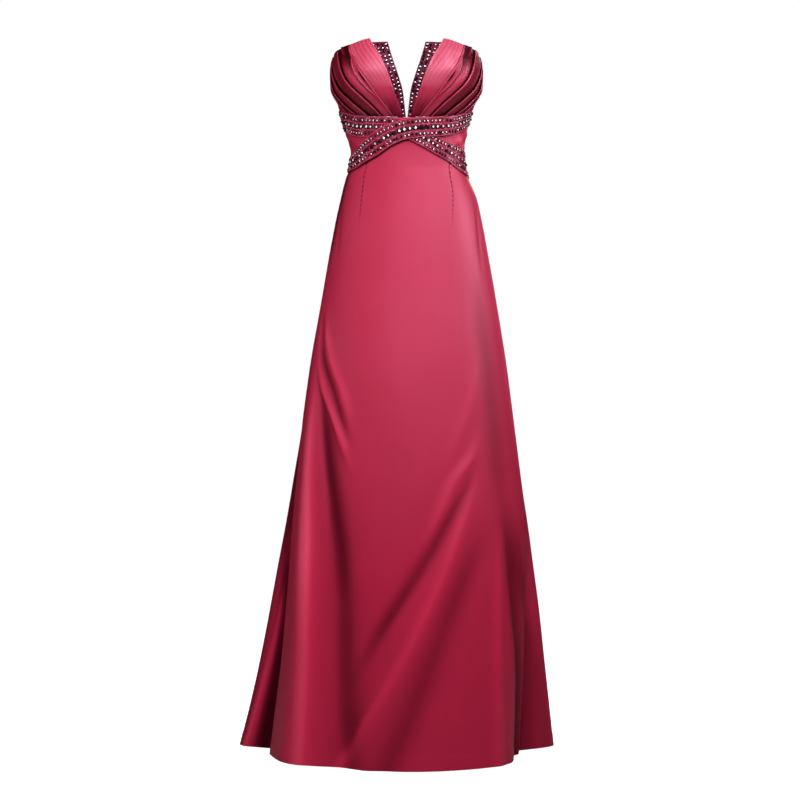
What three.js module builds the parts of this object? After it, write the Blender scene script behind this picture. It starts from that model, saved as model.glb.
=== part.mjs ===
// A strapless floor-length evening gown in the hollow form it has when worn: pleated cups, a beaded
// V neckline, two beaded sashes crossed under the bust, a plain back closed by a zip, and a long
// A-line skirt with soft folds. Millimetres, +Z up. The front faces -Y and the wearer's left is +X.
// The origin is on the middle line of the ribcage, a little below the cups, where the gown is held.
import * as THREE from "three";

// Cloth walls and the gaps between pieces
const SATIN_WALL = 2;
const CUP_WALL = 2.2;
const SASH_WALL = 1.8;
const NECK_WALL = 1.6;
const PIECE_GAP = 0.3;
const BEHIND_GAP = 0.9; // to what lies behind a curved wall: the neck bands and the zip tape

// Main heights
const HEM_Z = -1230;
const BACK_WAIST_Z = -84;
const BACK_WAIST_FROM = 140; // degrees from the centre front where the back waist has levelled out
const SIDE_SEAM = 92; // degrees from the centre front, so the seams lie just behind the sides
const CENTRE_BACK = 180;

// Satin folded into the pleats of a cup
const PLEAT_HEIGHT = 4.2;
const PLEAT_EDGE = 0.1; // share of a pleat's width that its rounded edge takes
const SIDE_TRIM = 0.006; // share of the last pleat left off at the side seam

// Stones set along the middle of each sash
const STONE_PITCH = 9;
const STONE_HEIGHT = 1.6;

// Front darts of the skirt
const DART_ANGLE = 42.7; // where a dart meets the waist seam
const DART_TIP_Z = -192;
const DART_FULL_Z = -100; // above this height a dart has its full depth
const DART_DEPTH = 1.2;
const DART_HALF_ANGLE = 1.8;

// Zip at the centre back
const ZIP_TOP_Z = 40;
const ZIP_END_Z = -235;
const ZIP_TAPE_WALL = 1;
const ZIP_TAPE_ANGLE = 8; // degrees each side of the centre back
const SLIDER = { width: 5.4, height: 7, plate: 1.4, rail: 1.6, railDepth: 2.8 };
const HINGE_DEPTH = 1.7; // from the slider's plate to the pull's axis, between the two rails
const PULL = { width: 6, length: 24, thickness: 1.2, neckWidth: 1.4, neckLength: 5, taper: 4 };

// Girth of the gown at each height, without cups and folds: half widths at the wearer's right and
// left, and depths in front of and behind the middle line.
const GIRTHS = [
  { z: 195, right: 132, left: 132, front: 97, back: 92 },
  { z: 160, right: 147, left: 147, front: 103, back: 94 },
  { z: 125, right: 151, left: 151, front: 104, back: 95 },
  { z: 90, right: 148, left: 148, front: 101, back: 94 },
  { z: 60, right: 138, left: 137, front: 96, back: 91 },
  { z: 30, right: 129, left: 126, front: 92, back: 88 },
  { z: 0, right: 121, left: 120, front: 88, back: 82 },
  { z: -40, right: 111, left: 115, front: 84, back: 77 },
  { z: -70, right: 115, left: 118, front: 85, back: 80 },
  { z: -90, right: 122, left: 125, front: 88, back: 85 },
  { z: -130, right: 132, left: 141, front: 95, back: 98 },
  { z: -190, right: 145, left: 154, front: 104, back: 117 },
  { z: -250, right: 156, left: 165, front: 111, back: 129 },
  { z: -330, right: 170, left: 179, front: 119, back: 138 },
  { z: -490, right: 198, left: 203, front: 138, back: 156 },
  { z: -650, right: 217, left: 224, front: 158, back: 176 },
  { z: -810, right: 232, left: 243, front: 178, back: 200 },
  { z: -1050, right: 252, left: 258, front: 207, back: 238 },
  { z: HEM_Z, right: 275, left: 264, front: 226, back: 266 },
];

// Fullness of each cup at each rise above the seam under it: how far it stands out, and the angle
// of its middle.
const CUP_FULLNESS = [
  { rise: 0, height: 0, angle: 34 },
  { rise: 18, height: 14, angle: 34 },
  { rise: 47, height: 27, angle: 33 },
  { rise: 82, height: 33, angle: 32 },
  { rise: 117, height: 25, angle: 32 },
  { rise: 152, height: 12, angle: 32 },
  { rise: 172, height: 6, angle: 32 },
];
const CUP_SPREAD = 25; // degrees

// Folds of the skirt. Each is a soft ridge, or a trough where its height is negative, that starts at
// a height, leans from one angle to another on its way to the hem, and grows as it goes down.
const FOLDS = [
  { name: "right back fold", from: -560, angle: -100, hemAngle: -101, width: 7, height: 70 },
  { name: "right fold hollow", from: -560, angle: -90, hemAngle: -91, width: 5, height: -42 },
  { name: "right front ridge", from: -380, angle: -64, hemAngle: -57, width: 11, height: 9 },
  { name: "right front trough", from: -370, angle: -52, hemAngle: -26, width: 11, height: -17 },
  { name: "long diagonal ridge", from: -620, angle: 36, hemAngle: -21, width: 8, height: 10 },
  { name: "long diagonal trough", from: -600, angle: 25, hemAngle: -31, width: 7, height: -6 },
  { name: "left front dip", from: -760, angle: 70, hemAngle: 68, width: 14, height: -33 },
  { name: "left fold hollow", from: -760, angle: 86, hemAngle: 86, width: 8, height: -42 },
  { name: "left back fold", from: -640, angle: 101, hemAngle: 101, width: 8, height: 42 },
  { name: "back fold 1", from: -340, angle: 128, hemAngle: 130, width: 10, height: 26 },
  { name: "back hollow 1", from: -340, angle: 143, hemAngle: 146, width: 8, height: -20 },
  { name: "back fold 2", from: -300, angle: 160, hemAngle: 163, width: 10, height: 24 },
  { name: "back hollow 2", from: -420, angle: 178, hemAngle: 181, width: 7, height: -22 },
  { name: "back fold 3", from: -300, angle: -162, hemAngle: -160, width: 11, height: 28 },
  { name: "back hollow 3", from: -360, angle: -143, hemAngle: -142, width: 8, height: -20 },
  { name: "back fold 4", from: -360, angle: -126, hemAngle: -125, width: 9, height: 22 },
];

// The seam under the cups, by angle from the centre front.
const UNDERBUST_SEAM = [
  { angle: 0, z: 22 },
  { angle: 24, z: 24.5 },
  { angle: 45, z: 29 },
  { angle: 60, z: 36.5 },
  { angle: 75, z: 44 },
  { angle: SIDE_SEAM, z: 50 },
];

// Edges of the two sashes. The upper one runs from low on the wearer's right to high on the left,
// and the lower one, which fans out a little at its low end, the other way.
const UPPER_SASH = [
  { angle: -SIDE_SEAM, top: -46, bottom: -76 },
  { angle: -75, top: -42, bottom: -75 },
  { angle: -60, top: -33, bottom: -72.5 },
  { angle: -45, top: -18, bottom: -63 },
  { angle: -30, top: -2, bottom: -50 },
  { angle: -15, top: 11, bottom: -32 },
  { angle: 0, top: 19, bottom: -20 },
  { angle: 15, top: 22.5, bottom: -15.5 },
  { angle: 30, top: 25, bottom: -13 },
  { angle: 45, top: 28, bottom: -8 },
  { angle: 60, top: 35.5, bottom: -1 },
  { angle: 75, top: 43, bottom: 11 },
  { angle: SIDE_SEAM, top: 49, bottom: 17 },
];
const LOWER_SASH = [
  { angle: -SIDE_SEAM, top: 49, bottom: 7 },
  { angle: -75, top: 43, bottom: 0 },
  { angle: -60, top: 35.5, bottom: -8 },
  { angle: -45, top: 28, bottom: -12.5 },
  { angle: -30, top: 25, bottom: -14 },
  { angle: -15, top: 22.5, bottom: -16 },
  { angle: 0, top: 17, bottom: -20 },
  { angle: 15, top: 2, bottom: -33 },
  { angle: 30, top: -13, bottom: -48 },
  { angle: 45, top: -22, bottom: -61 },
  { angle: 60, top: -26, bottom: -75 },
  { angle: 75, top: -31, bottom: -83 },
  { angle: SIDE_SEAM, top: -37, bottom: -88 },
];
const SASH_CROSSING = 40; // degrees each side of the centre where one sash lies on the other
const SASH_LANDING = 22; // degrees more that it takes to come down to the midriff again

// Top edge of the bodice. It peaks beside the V neckline and dips to the centre back.
const TOP_EDGE = [
  { angle: 0, z: 174 },
  { angle: 28, z: 174 },
  { angle: 36, z: 169 },
  { angle: 44, z: 165 },
  { angle: 54, z: 162.5 },
  { angle: 65, z: 160 },
  { angle: 75, z: 154 },
  { angle: 84, z: 144 },
  { angle: SIDE_SEAM, z: 131 },
  { angle: 112, z: 100 },
  { angle: 138, z: 66 },
  { angle: 160, z: 50 },
  { angle: CENTRE_BACK, z: 46 },
];

// Pleat lines of a cup, from the flap beside the neckline to the side seam: their angles at five
// even heights from the underbust seam up to the top edge.
const PLEAT_LINES = [
  { foot: 3.4, low: 8, middle: 12.2, high: 17.8, head: 28 },
  { foot: 11.6, low: 21.4, middle: 28.4, high: 36.4, head: 45 },
  { foot: 22.2, low: 33.4, middle: 44, high: 52, head: 62.5 },
  { foot: 35.2, low: 47.5, middle: 61.5, high: 72, head: 78 },
  { foot: 48.6, low: 63, middle: 76, high: 82, head: 85.5 },
  { foot: 61, low: 74, middle: 84, high: 87.5, head: 89.5 },
  { foot: SIDE_SEAM, low: SIDE_SEAM, middle: SIDE_SEAM, high: SIDE_SEAM, head: SIDE_SEAM },
];

// Neckline band of a cup: its edge along the V and its other edge, which lies under the cup.
const NECK_BAND = [
  { z: 22, inner: 0.7, outer: 8 },
  { z: 45, inner: 1.7, outer: 11 },
  { z: 70, inner: 2.8, outer: 14 },
  { z: 100, inner: 5.6, outer: 17.5 },
  { z: 140, inner: 10.3, outer: 24 },
  { z: 168, inner: 13.9, outer: 31 },
];

// A smooth curve through a table's rows: column as a function of along.
function curveThrough(rows, along, column) {
  const sorted = [...rows].sort((a, b) => a[along] - b[along]);
  const at = sorted.map((row) => row[along]);
  const value = sorted.map((row) => row[column]);
  const last = at.length - 1;
  const steep = (i) => (value[i + 1] - value[i]) / (at[i + 1] - at[i]);
  const slope = at.map((_, i) => {
    if (i === 0) return steep(0);
    if (i === last) return steep(last - 1);
    const before = steep(i - 1);
    const after = steep(i);
    return before * after <= 0 ? 0 : (2 * before * after) / (before + after);
  });
  return (x) => {
    if (x <= at[0]) return value[0];
    if (x >= at[last]) return value[last];
    const i = at.findIndex((_, k) => x < at[k + 1]);
    const span = at[i + 1] - at[i];
    const t = (x - at[i]) / span;
    const rise = t * t * (3 - 2 * t);
    const bow = t * (1 - t);
    return (
      value[i] * (1 - rise) +
      value[i + 1] * rise +
      span * bow * (slope[i] * (1 - t) - slope[i + 1] * t)
    );
  };
}

const radians = THREE.MathUtils.degToRad;
const lerp = THREE.MathUtils.lerp;
const smoothstep = THREE.MathUtils.smoothstep;
const bell = (distance, width) => Math.exp(-((distance / width) ** 2));

const girth = {
  right: curveThrough(GIRTHS, "z", "right"),
  left: curveThrough(GIRTHS, "z", "left"),
  front: curveThrough(GIRTHS, "z", "front"),
  back: curveThrough(GIRTHS, "z", "back"),
};
const cupHeight = curveThrough(CUP_FULLNESS, "rise", "height");
const cupAngle = curveThrough(CUP_FULLNESS, "rise", "angle");
const underbustZ = curveThrough(UNDERBUST_SEAM, "angle", "z");
const upperSash = {
  top: curveThrough(UPPER_SASH, "angle", "top"),
  bottom: curveThrough(UPPER_SASH, "angle", "bottom"),
};
const lowerSash = {
  top: curveThrough(LOWER_SASH, "angle", "top"),
  bottom: curveThrough(LOWER_SASH, "angle", "bottom"),
};
const topEdgeZ = curveThrough(TOP_EDGE, "angle", "z");
const neckInner = curveThrough(NECK_BAND, "z", "inner");
const neckOuter = curveThrough(NECK_BAND, "z", "outer");

// Angles differ by whole turns behind the back.
function turnBetween(a, b) {
  return ((((a - b + 180) % 360) + 360) % 360) - 180;
}

function foldHeight(angle, z) {
  let height = 0;
  for (const fold of FOLDS) {
    if (z >= fold.from) continue;
    const down = (fold.from - z) / (fold.from - HEM_Z);
    const middle = lerp(fold.angle, fold.hemAngle, down);
    height += fold.height * down ** 1.15 * bell(turnBetween(angle, middle), fold.width);
  }
  return height;
}

function cupBulge(angle, z) {
  const rise = z - underbustZ(Math.abs(angle));
  const middle = cupAngle(rise);
  return cupHeight(rise) * (bell(angle - middle, CUP_SPREAD) + bell(angle + middle, CUP_SPREAD));
}

// The gown's own surface: a point by its angle from the centre front and its height.
function gownPoint(angle, z) {
  const turn = radians(angle);
  const across = Math.sin(turn);
  const ahead = Math.cos(turn);
  const half = across > 0 ? girth.left(z) : girth.right(z);
  const depth = ahead > 0 ? girth.front(z) : girth.back(z);
  const out = new THREE.Vector2(across / half, -ahead / depth).normalize();
  const lift = foldHeight(angle, z) + cupBulge(angle, z);
  return new THREE.Vector3(half * across + out.x * lift, -depth * ahead + out.y * lift, z);
}

function outward(angle, z) {
  const step = 0.5;
  const along = gownPoint(angle + step, z).sub(gownPoint(angle - step, z));
  const up = gownPoint(angle, z + step).sub(gownPoint(angle, z - step));
  return along.cross(up).normalize();
}

// A point of the surface moved out along its normal.
function lifted(angle, z, lift) {
  return gownPoint(angle, z).addScaledVector(outward(angle, z), lift);
}

// The angle a seam gap takes at a height.
function gapAngle(z) {
  return THREE.MathUtils.radToDeg(PIECE_GAP / 2 / ((girth.left(z) + girth.front(z)) / 2));
}

function steps(from, to, count) {
  return Array.from({ length: count + 1 }, (_, i) => lerp(from, to, i / count));
}

// A closed cloth wall over a grid. outer(u, v) and inner(u, v) give its two faces; u runs towards
// the wearer's left and v downwards, as seen from outside.
function wall(across, down, outer, inner) {
  const columns = across.length;
  const rows = down.length;
  const points = [];
  for (const face of [outer, inner]) {
    for (const u of across) for (const v of down) points.push(...face(u, v).toArray());
  }
  const outerAt = (i, j) => i * rows + j;
  const innerAt = (i, j) => columns * rows + i * rows + j;
  const faces = [];
  const quad = (a, b, c, d) => faces.push(a, b, c, a, c, d);
  for (let i = 0; i + 1 < columns; i++) {
    for (let j = 0; j + 1 < rows; j++) {
      quad(outerAt(i, j), outerAt(i, j + 1), outerAt(i + 1, j + 1), outerAt(i + 1, j));
      quad(innerAt(i, j), innerAt(i + 1, j), innerAt(i + 1, j + 1), innerAt(i, j + 1));
    }
    const bottom = rows - 1;
    quad(outerAt(i, 0), outerAt(i + 1, 0), innerAt(i + 1, 0), innerAt(i, 0));
    quad(innerAt(i, bottom), innerAt(i + 1, bottom), outerAt(i + 1, bottom), outerAt(i, bottom));
  }
  for (let j = 0; j + 1 < rows; j++) {
    const end = columns - 1;
    quad(innerAt(0, j), innerAt(0, j + 1), outerAt(0, j + 1), outerAt(0, j));
    quad(outerAt(end, j), outerAt(end, j + 1), innerAt(end, j + 1), innerAt(end, j));
  }
  const geometry = new THREE.BufferGeometry();
  geometry.setAttribute("position", new THREE.Float32BufferAttribute(points, 3));
  geometry.setIndex(faces);
  geometry.computeVertexNormals();
  return geometry;
}

const satin = new THREE.MeshStandardMaterial({ color: 0xb02350, roughness: 0.38, metalness: 0 });
const pleatedSatin = new THREE.MeshStandardMaterial({ color: 0x9c1c42, roughness: 0.35, metalness: 0 });
const beaded = new THREE.MeshStandardMaterial({ color: 0x6e1230, roughness: 0.3, metalness: 0.1 });
const zipCloth = new THREE.MeshStandardMaterial({ color: 0x8a1a3c, roughness: 0.7, metalness: 0 });
const zipMetal = new THREE.MeshStandardMaterial({ color: 0xa8203f, roughness: 0.35, metalness: 0.6 });

const gown = new THREE.Group();

function addPiece(name, geometry, material) {
  const mesh = new THREE.Mesh(geometry, material);
  mesh.name = name;
  gown.add(mesh);
  return mesh;
}

// A panel of plain cloth between two angles, from a top line to a bottom line.
function plainPanel(name, across, down, topZ, bottomZ, relief = () => 0) {
  const z = (angle, v) => lerp(topZ(angle), bottomZ(angle), v);
  const outer = (angle, v) => lifted(angle, z(angle, v), relief(angle, z(angle, v)));
  const inner = (angle, v) => lifted(angle, z(angle, v), -SATIN_WALL);
  addPiece(name, wall(across, down, outer, inner), satin);
}

// The waist seam follows the low edges of the sashes in front and levels out behind.
function waistZ(angle) {
  const front = angle < 0 ? upperSash.bottom(angle) : lowerSash.bottom(angle);
  return lerp(front, BACK_WAIST_Z, smoothstep(Math.abs(angle), SIDE_SEAM, BACK_WAIST_FROM));
}
const hemZ = () => HEM_Z;

function dartRelief(angle, z) {
  const fade = smoothstep(z, DART_TIP_Z, DART_FULL_Z);
  const side = Math.max(0, 1 - Math.abs(Math.abs(angle) - DART_ANGLE) / DART_HALF_ANGLE);
  return -DART_DEPTH * fade * side;
}

// Angles of the grid lines that the front of the skirt and the midriff share.
function frontLines(edge) {
  const dart = [DART_ANGLE - DART_HALF_ANGLE, DART_ANGLE, DART_ANGLE + DART_HALF_ANGLE];
  const half = [5, 10, 15.5, 21, 27, 34, ...dart, 51, 57, 63, 68.5, 73.5, 78, 82.5, 87, edge];
  return [...half.map((angle) => -angle).reverse(), 0, ...half];
}

// The skirt: a front panel with two darts, and two back panels that meet at the centre back.
function addSkirt() {
  const front = frontLines(SIDE_SEAM - gapAngle(HEM_Z));
  const down = steps(0, 1, 17).map((t) => t ** 1.15);
  const top = (angle) => waistZ(angle) - PIECE_GAP;
  plainPanel("skirt_front", front, down, top, hemZ, dartRelief);
  const start = SIDE_SEAM + gapAngle(HEM_Z);
  const end = CENTRE_BACK - gapAngle(HEM_Z);
  const back = [start, 94.5, 97.5, 101, 104.5, 108, 113, ...steps(119, 174, 11), end];
  plainPanel("skirt_back_left", back, down, top, hemZ);
  plainPanel("skirt_back_right", back.map((angle) => -angle).reverse(), down, top, hemZ);
}

// The midriff under the sashes, and the plain back bodice from the waist to the top edge.
function addBodice() {
  const edge = SIDE_SEAM - gapAngle(0);
  const top = (angle) => underbustZ(Math.abs(angle)) - PIECE_GAP;
  plainPanel("midriff_front", frontLines(edge), steps(0, 1, 9), top, waistZ);
  const start = SIDE_SEAM + gapAngle(0);
  const end = CENTRE_BACK - gapAngle(0);
  const back = steps(start, end, 12);
  const backTop = (angle) => topEdgeZ(Math.abs(angle));
  const down = steps(0, 1, 12);
  plainPanel("bodice_back_left", back, down, backTop, waistZ);
  plainPanel("bodice_back_right", back.map((angle) => -angle).reverse(), down, backTop, waistZ);
}

// Where a cup's cloth lies: line is its place between the flap and the side seam, counted in pleat
// lines, and v runs from the top edge down to the underbust seam.
const pleatLevels = ["foot", "low", "middle", "high", "head"].map((level, i, levels) => {
  const rows = PLEAT_LINES.map((row, line) => ({ line, angle: row[level] }));
  return { up: i / (levels.length - 1), angleOf: curveThrough(rows, "line", "angle") };
});

function cupPlace(line, v) {
  const along = pleatLevels.map(({ up, angleOf }) => ({ up, angle: angleOf(line) }));
  const foot = along[0].angle;
  const head = along[along.length - 1].angle;
  const angle = curveThrough(along, "up", "angle")(1 - v);
  return { angle, z: lerp(topEdgeZ(head), underbustZ(foot), v) };
}

// Each pleat stands up at its inner fold and slopes down to where the next one covers it.
function pleatRelief(line) {
  const share = line % 1;
  if (line < 1) return 0;
  const rise = smoothstep(share, 0, PLEAT_EDGE);
  return PLEAT_HEIGHT * rise * (1 - share);
}

function addCup(name, side) {
  const pleats = PLEAT_LINES.length - 1;
  const flap = steps(0, 1, 5);
  const within = [PLEAT_EDGE, 0.4, 0.72, 1];
  const last = [PLEAT_EDGE, 0.26, 0.4, 0.55, 0.7, 0.85, 1];
  const lines = [...flap];
  for (let pleat = 1; pleat < pleats; pleat++) {
    const shares = pleat < pleats - 1 ? within : last;
    lines.push(...shares.map((share) => pleat + share));
  }
  lines[lines.length - 1] = pleats - SIDE_TRIM;
  const down = steps(0, 1, 13);
  const at = (line, v, lift) => {
    const { angle, z } = cupPlace(Math.abs(line), v);
    const point = lifted(side * Math.min(angle, SIDE_SEAM - gapAngle(z)), z, lift);
    point.z = Math.max(point.z, underbustZ(angle)); // no cloth hangs below the seam
    return point;
  };
  const across = side > 0 ? lines : lines.map((line) => -line).reverse();
  const outer = (line, v) => at(line, v, pleatRelief(Math.abs(line)));
  const inner = (line, v) => at(line, v, -CUP_WALL);
  addPiece(name, wall(across, down, outer, inner), pleatedSatin);
}

// The beaded band along each side of the V lies behind the cup's edge.
function addNeckBand(name, side) {
  const top = NECK_BAND[NECK_BAND.length - 1].z;
  const bottom = NECK_BAND[0].z;
  const z = (v) => lerp(top, bottom, v);
  const angle = (u, v) => side * lerp(neckInner(z(v)), neckOuter(z(v)), Math.abs(u));
  const front = -CUP_WALL - BEHIND_GAP;
  const across = side > 0 ? steps(0, 1, 3) : steps(-1, 0, 3);
  const outer = (u, v) => lifted(angle(u, v), z(v), front);
  const inner = (u, v) => lifted(angle(u, v), z(v), front - NECK_WALL);
  addPiece(name, wall(across, steps(0, 1, 12), outer, inner), beaded);
}

// A beaded sash on the midriff. The upper one of the two rises over the other where they cross.
function addSash(name, edges, isUpper) {
  const reach = SIDE_SEAM - gapAngle(0);
  const arc = (girth.left(0) + girth.front(0)) * radians(reach);
  const count = 2 * Math.round(arc / STONE_PITCH);
  const across = steps(-reach, reach, count);
  const rise = SASH_WALL + STONE_HEIGHT + PIECE_GAP;
  const under = (angle) => {
    const over = 1 - smoothstep(Math.abs(angle), SASH_CROSSING, SASH_CROSSING + SASH_LANDING);
    return PIECE_GAP + (isUpper ? rise * over : 0);
  };
  const z = (angle, v) => lerp(edges.top(angle), edges.bottom(angle), v);
  const isStone = (angle, v) => {
    const column = Math.round(((angle + reach) / (2 * reach)) * count);
    return v === 0.5 && column % 2 === 1;
  };
  const outer = (angle, v) => {
    const height = SASH_WALL + (isStone(angle, v) ? STONE_HEIGHT : 0);
    return lifted(angle, z(angle, v), under(angle) + height);
  };
  const inner = (angle, v) => lifted(angle, z(angle, v), under(angle));
  addPiece(name, wall(across, [0, 0.34, 0.5, 0.66, 1], outer, inner), beaded);
}

// The zip: a tape inside the centre back seam, a slider at its top and a pull that hangs from it.
function addZip() {
  const lift = -SATIN_WALL - BEHIND_GAP;
  const angle = (u) => CENTRE_BACK + u * ZIP_TAPE_ANGLE;
  const z = (v) => lerp(ZIP_TOP_Z, ZIP_END_Z, v);
  const outer = (u, v) => lifted(angle(u), z(v), lift);
  const inner = (u, v) => lifted(angle(u), z(v), lift - ZIP_TAPE_WALL);
  addPiece("zip_tape", wall([-1, 0, 1], steps(0, 1, 20), outer, inner), zipCloth);

  // The slider is a plate with two rails, and the pull's neck turns between them.
  const seatY = gownPoint(CENTRE_BACK, ZIP_TOP_Z).y + PIECE_GAP;
  const half = SLIDER.width / 2;
  const slot = half - SLIDER.rail;
  const face = SLIDER.plate + SLIDER.railDepth;
  const section = new THREE.Shape();
  section.moveTo(-half, 0);
  section.lineTo(half, 0);
  section.lineTo(half, face);
  section.lineTo(slot, face);
  section.lineTo(slot, SLIDER.plate);
  section.lineTo(-slot, SLIDER.plate);
  section.lineTo(-slot, face);
  section.lineTo(-half, face);
  section.closePath();
  const slider = new THREE.ExtrudeGeometry(section, { depth: SLIDER.height, bevelEnabled: false });
  const sliderMesh = addPiece("zip_slider", slider, zipMetal);
  sliderMesh.position.set(0, seatY, ZIP_TOP_Z - SLIDER.height);

  const outline = new THREE.Shape();
  const neck = PULL.neckWidth / 2;
  const wide = PULL.width / 2;
  outline.moveTo(-neck, neck);
  outline.lineTo(-neck, -PULL.neckLength);
  outline.lineTo(-wide, -PULL.neckLength - PULL.taper);
  outline.lineTo(-wide, -PULL.length + wide);
  outline.absarc(0, -PULL.length + wide, wide, Math.PI, 2 * Math.PI, false);
  outline.lineTo(wide, -PULL.neckLength - PULL.taper);
  outline.lineTo(neck, -PULL.neckLength);
  outline.lineTo(neck, neck);
  outline.closePath();
  const pull = new THREE.ExtrudeGeometry(outline, {
    depth: PULL.thickness,
    bevelEnabled: false,
    curveSegments: 8,
  });
  const pullMesh = addPiece("zip_pull", pull, zipMetal);
  pullMesh.rotation.x = Math.PI / 2;
  const axisY = seatY + SLIDER.plate + HINGE_DEPTH;
  pullMesh.position.set(0, axisY + PULL.thickness / 2, ZIP_TOP_Z - SLIDER.height / 2);
}

addCup("cup_right", -1);
addCup("cup_left", 1);
addNeckBand("neck_band_right", -1);
addNeckBand("neck_band_left", 1);
addBodice();
addSash("sash_lower", lowerSash, false);
addSash("sash_upper", upperSash, true);
addSkirt();
addZip();

export default gown;
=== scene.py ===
"""A strapless evening gown in raspberry satin, in the hollow form it has when worn.

Sizes are millimetres in the tables and metres in Blender. The front faces -Y, +Z is up and the
wearer's left is +X. A place on the cloth is an angle from the centre front, in degrees, and a height.
"""
import math

import bmesh
import bpy
import numpy as np
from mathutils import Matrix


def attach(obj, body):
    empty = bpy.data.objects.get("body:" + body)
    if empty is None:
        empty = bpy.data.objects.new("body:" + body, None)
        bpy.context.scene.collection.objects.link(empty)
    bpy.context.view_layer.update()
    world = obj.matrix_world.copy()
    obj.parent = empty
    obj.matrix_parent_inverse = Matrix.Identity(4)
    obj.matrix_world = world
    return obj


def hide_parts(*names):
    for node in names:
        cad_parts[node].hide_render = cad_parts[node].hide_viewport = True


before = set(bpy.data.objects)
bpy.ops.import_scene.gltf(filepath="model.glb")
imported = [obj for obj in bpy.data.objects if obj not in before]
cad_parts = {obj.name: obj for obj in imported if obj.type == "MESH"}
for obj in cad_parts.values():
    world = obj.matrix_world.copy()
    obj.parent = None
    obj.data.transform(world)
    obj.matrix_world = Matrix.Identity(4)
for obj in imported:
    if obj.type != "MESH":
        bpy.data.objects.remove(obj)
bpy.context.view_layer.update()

MM = 0.001


def table(columns, *rows):
    """Rows of numbers under named columns."""
    return dict(zip(columns.split(), np.array(rows, float).T))


# Form of the gown

HEM_Z = -1230
BACK_WAIST_Z = -84
BACK_WAIST_FROM = 140
SIDE_SEAM = 92
CENTRE_BACK = 180
CUP_SPREAD = 25
PANEL_WALL = 1.3
CUP_WALL = 2.2
NECK_WALL = 1.6
SEAM_GAP = 0.3
BEHIND_GAP = 0.9
SASH_CROSSING = 40
SASH_LANDING = 22
SASH_RISE = 3.7

GIRTHS = table(
    "z right left front back",
    (195, 132, 132, 97, 92),
    (160, 147, 147, 103, 94),
    (125, 151, 151, 104, 95),
    (90, 148, 148, 101, 94),
    (60, 138, 137, 96, 91),
    (30, 129, 126, 92, 88),
    (0, 121, 120, 88, 82),
    (-40, 111, 115, 84, 77),
    (-70, 115, 118, 85, 80),
    (-90, 122, 125, 88, 85),
    (-130, 132, 141, 95, 98),
    (-190, 145, 154, 104, 117),
    (-250, 156, 165, 111, 129),
    (-330, 170, 179, 119, 138),
    (-490, 198, 203, 138, 156),
    (-650, 217, 224, 158, 176),
    (-810, 232, 243, 178, 200),
    (-1050, 252, 258, 207, 238),
    (HEM_Z, 275, 264, 226, 266),
)
CUP_FULLNESS = table(
    "rise height angle",
    (0, 0, 34),
    (18, 14, 34),
    (47, 27, 33),
    (82, 33, 32),
    (117, 25, 32),
    (152, 12, 32),
    (172, 6, 32),
)
UNDERBUST_SEAM = table("angle z", (0, 22), (24, 24.5), (45, 29), (60, 36.5), (75, 44), (SIDE_SEAM, 50))
TOP_EDGE = table(
    "angle z",
    (0, 174),
    (28, 174),
    (36, 169),
    (44, 165),
    (54, 162.5),
    (65, 160),
    (75, 154),
    (84, 144),
    (SIDE_SEAM, 131),
    (112, 100),
    (138, 66),
    (160, 50),
    (CENTRE_BACK, 46),
)
UPPER_SASH = table(
    "angle top bottom",
    (-SIDE_SEAM, -46, -76),
    (-75, -42, -75),
    (-60, -33, -72.5),
    (-45, -18, -63),
    (-30, -2, -50),
    (-15, 11, -32),
    (0, 19, -20),
    (15, 22.5, -15.5),
    (30, 25, -13),
    (45, 28, -8),
    (60, 35.5, -1),
    (75, 43, 11),
    (SIDE_SEAM, 49, 17),
)
LOWER_SASH = table(
    "angle top bottom",
    (-SIDE_SEAM, 49, 7),
    (-75, 43, 0),
    (-60, 35.5, -8),
    (-45, 28, -12.5),
    (-30, 25, -14),
    (-15, 22.5, -16),
    (0, 17, -20),
    (15, 2, -33),
    (30, -13, -48),
    (45, -22, -61),
    (60, -26, -75),
    (75, -31, -83),
    (SIDE_SEAM, -37, -88),
)
PLEAT_LINES = table(
    "foot low middle high head",
    (3.4, 8, 12.2, 17.8, 28),
    (11.6, 21.4, 28.4, 36.4, 45),
    (22.2, 33.4, 44, 52, 62.5),
    (35.2, 47.5, 61.5, 72, 78),
    (48.6, 63, 76, 82, 85.5),
    (61, 74, 84, 87.5, 89.5),
    (SIDE_SEAM, SIDE_SEAM, SIDE_SEAM, SIDE_SEAM, SIDE_SEAM),
)
NECK_BAND = table(
    "z inner outer",
    (22, 0.7, 8),
    (45, 1.7, 11),
    (70, 2.8, 14),
    (100, 5.6, 17.5),
    (140, 10.3, 24),
    (168, 13.9, 31),
)
# Large folds of the skirt: where each starts, its angle there and at the hem, its width and height
FOLDS = table(
    "start angle hem_angle width height",
    (-560, -100, -101, 7, 70),
    (-560, -90, -91, 5, -42),
    (-380, -64, -57, 11, 9),
    (-370, -52, -26, 11, -17),
    (-620, 36, -21, 8, 10),
    (-600, 25, -31, 7, -6),
    (-760, 70, 68, 14, -33),
    (-760, 86, 86, 8, -42),
    (-640, 101, 101, 8, 42),
    (-340, 128, 130, 10, 26),
    (-340, 143, 146, 8, -20),
    (-300, 160, 163, 10, 24),
    (-420, 178, 181, 7, -22),
    (-300, -162, -160, 11, 28),
    (-360, -143, -142, 8, -20),
    (-360, -126, -125, 9, 22),
)

INNER_FOLD_EDGE = [(-860, -94.3), (-970, -95.2), (-1092, -96.8), (-1230, -98)]
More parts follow.
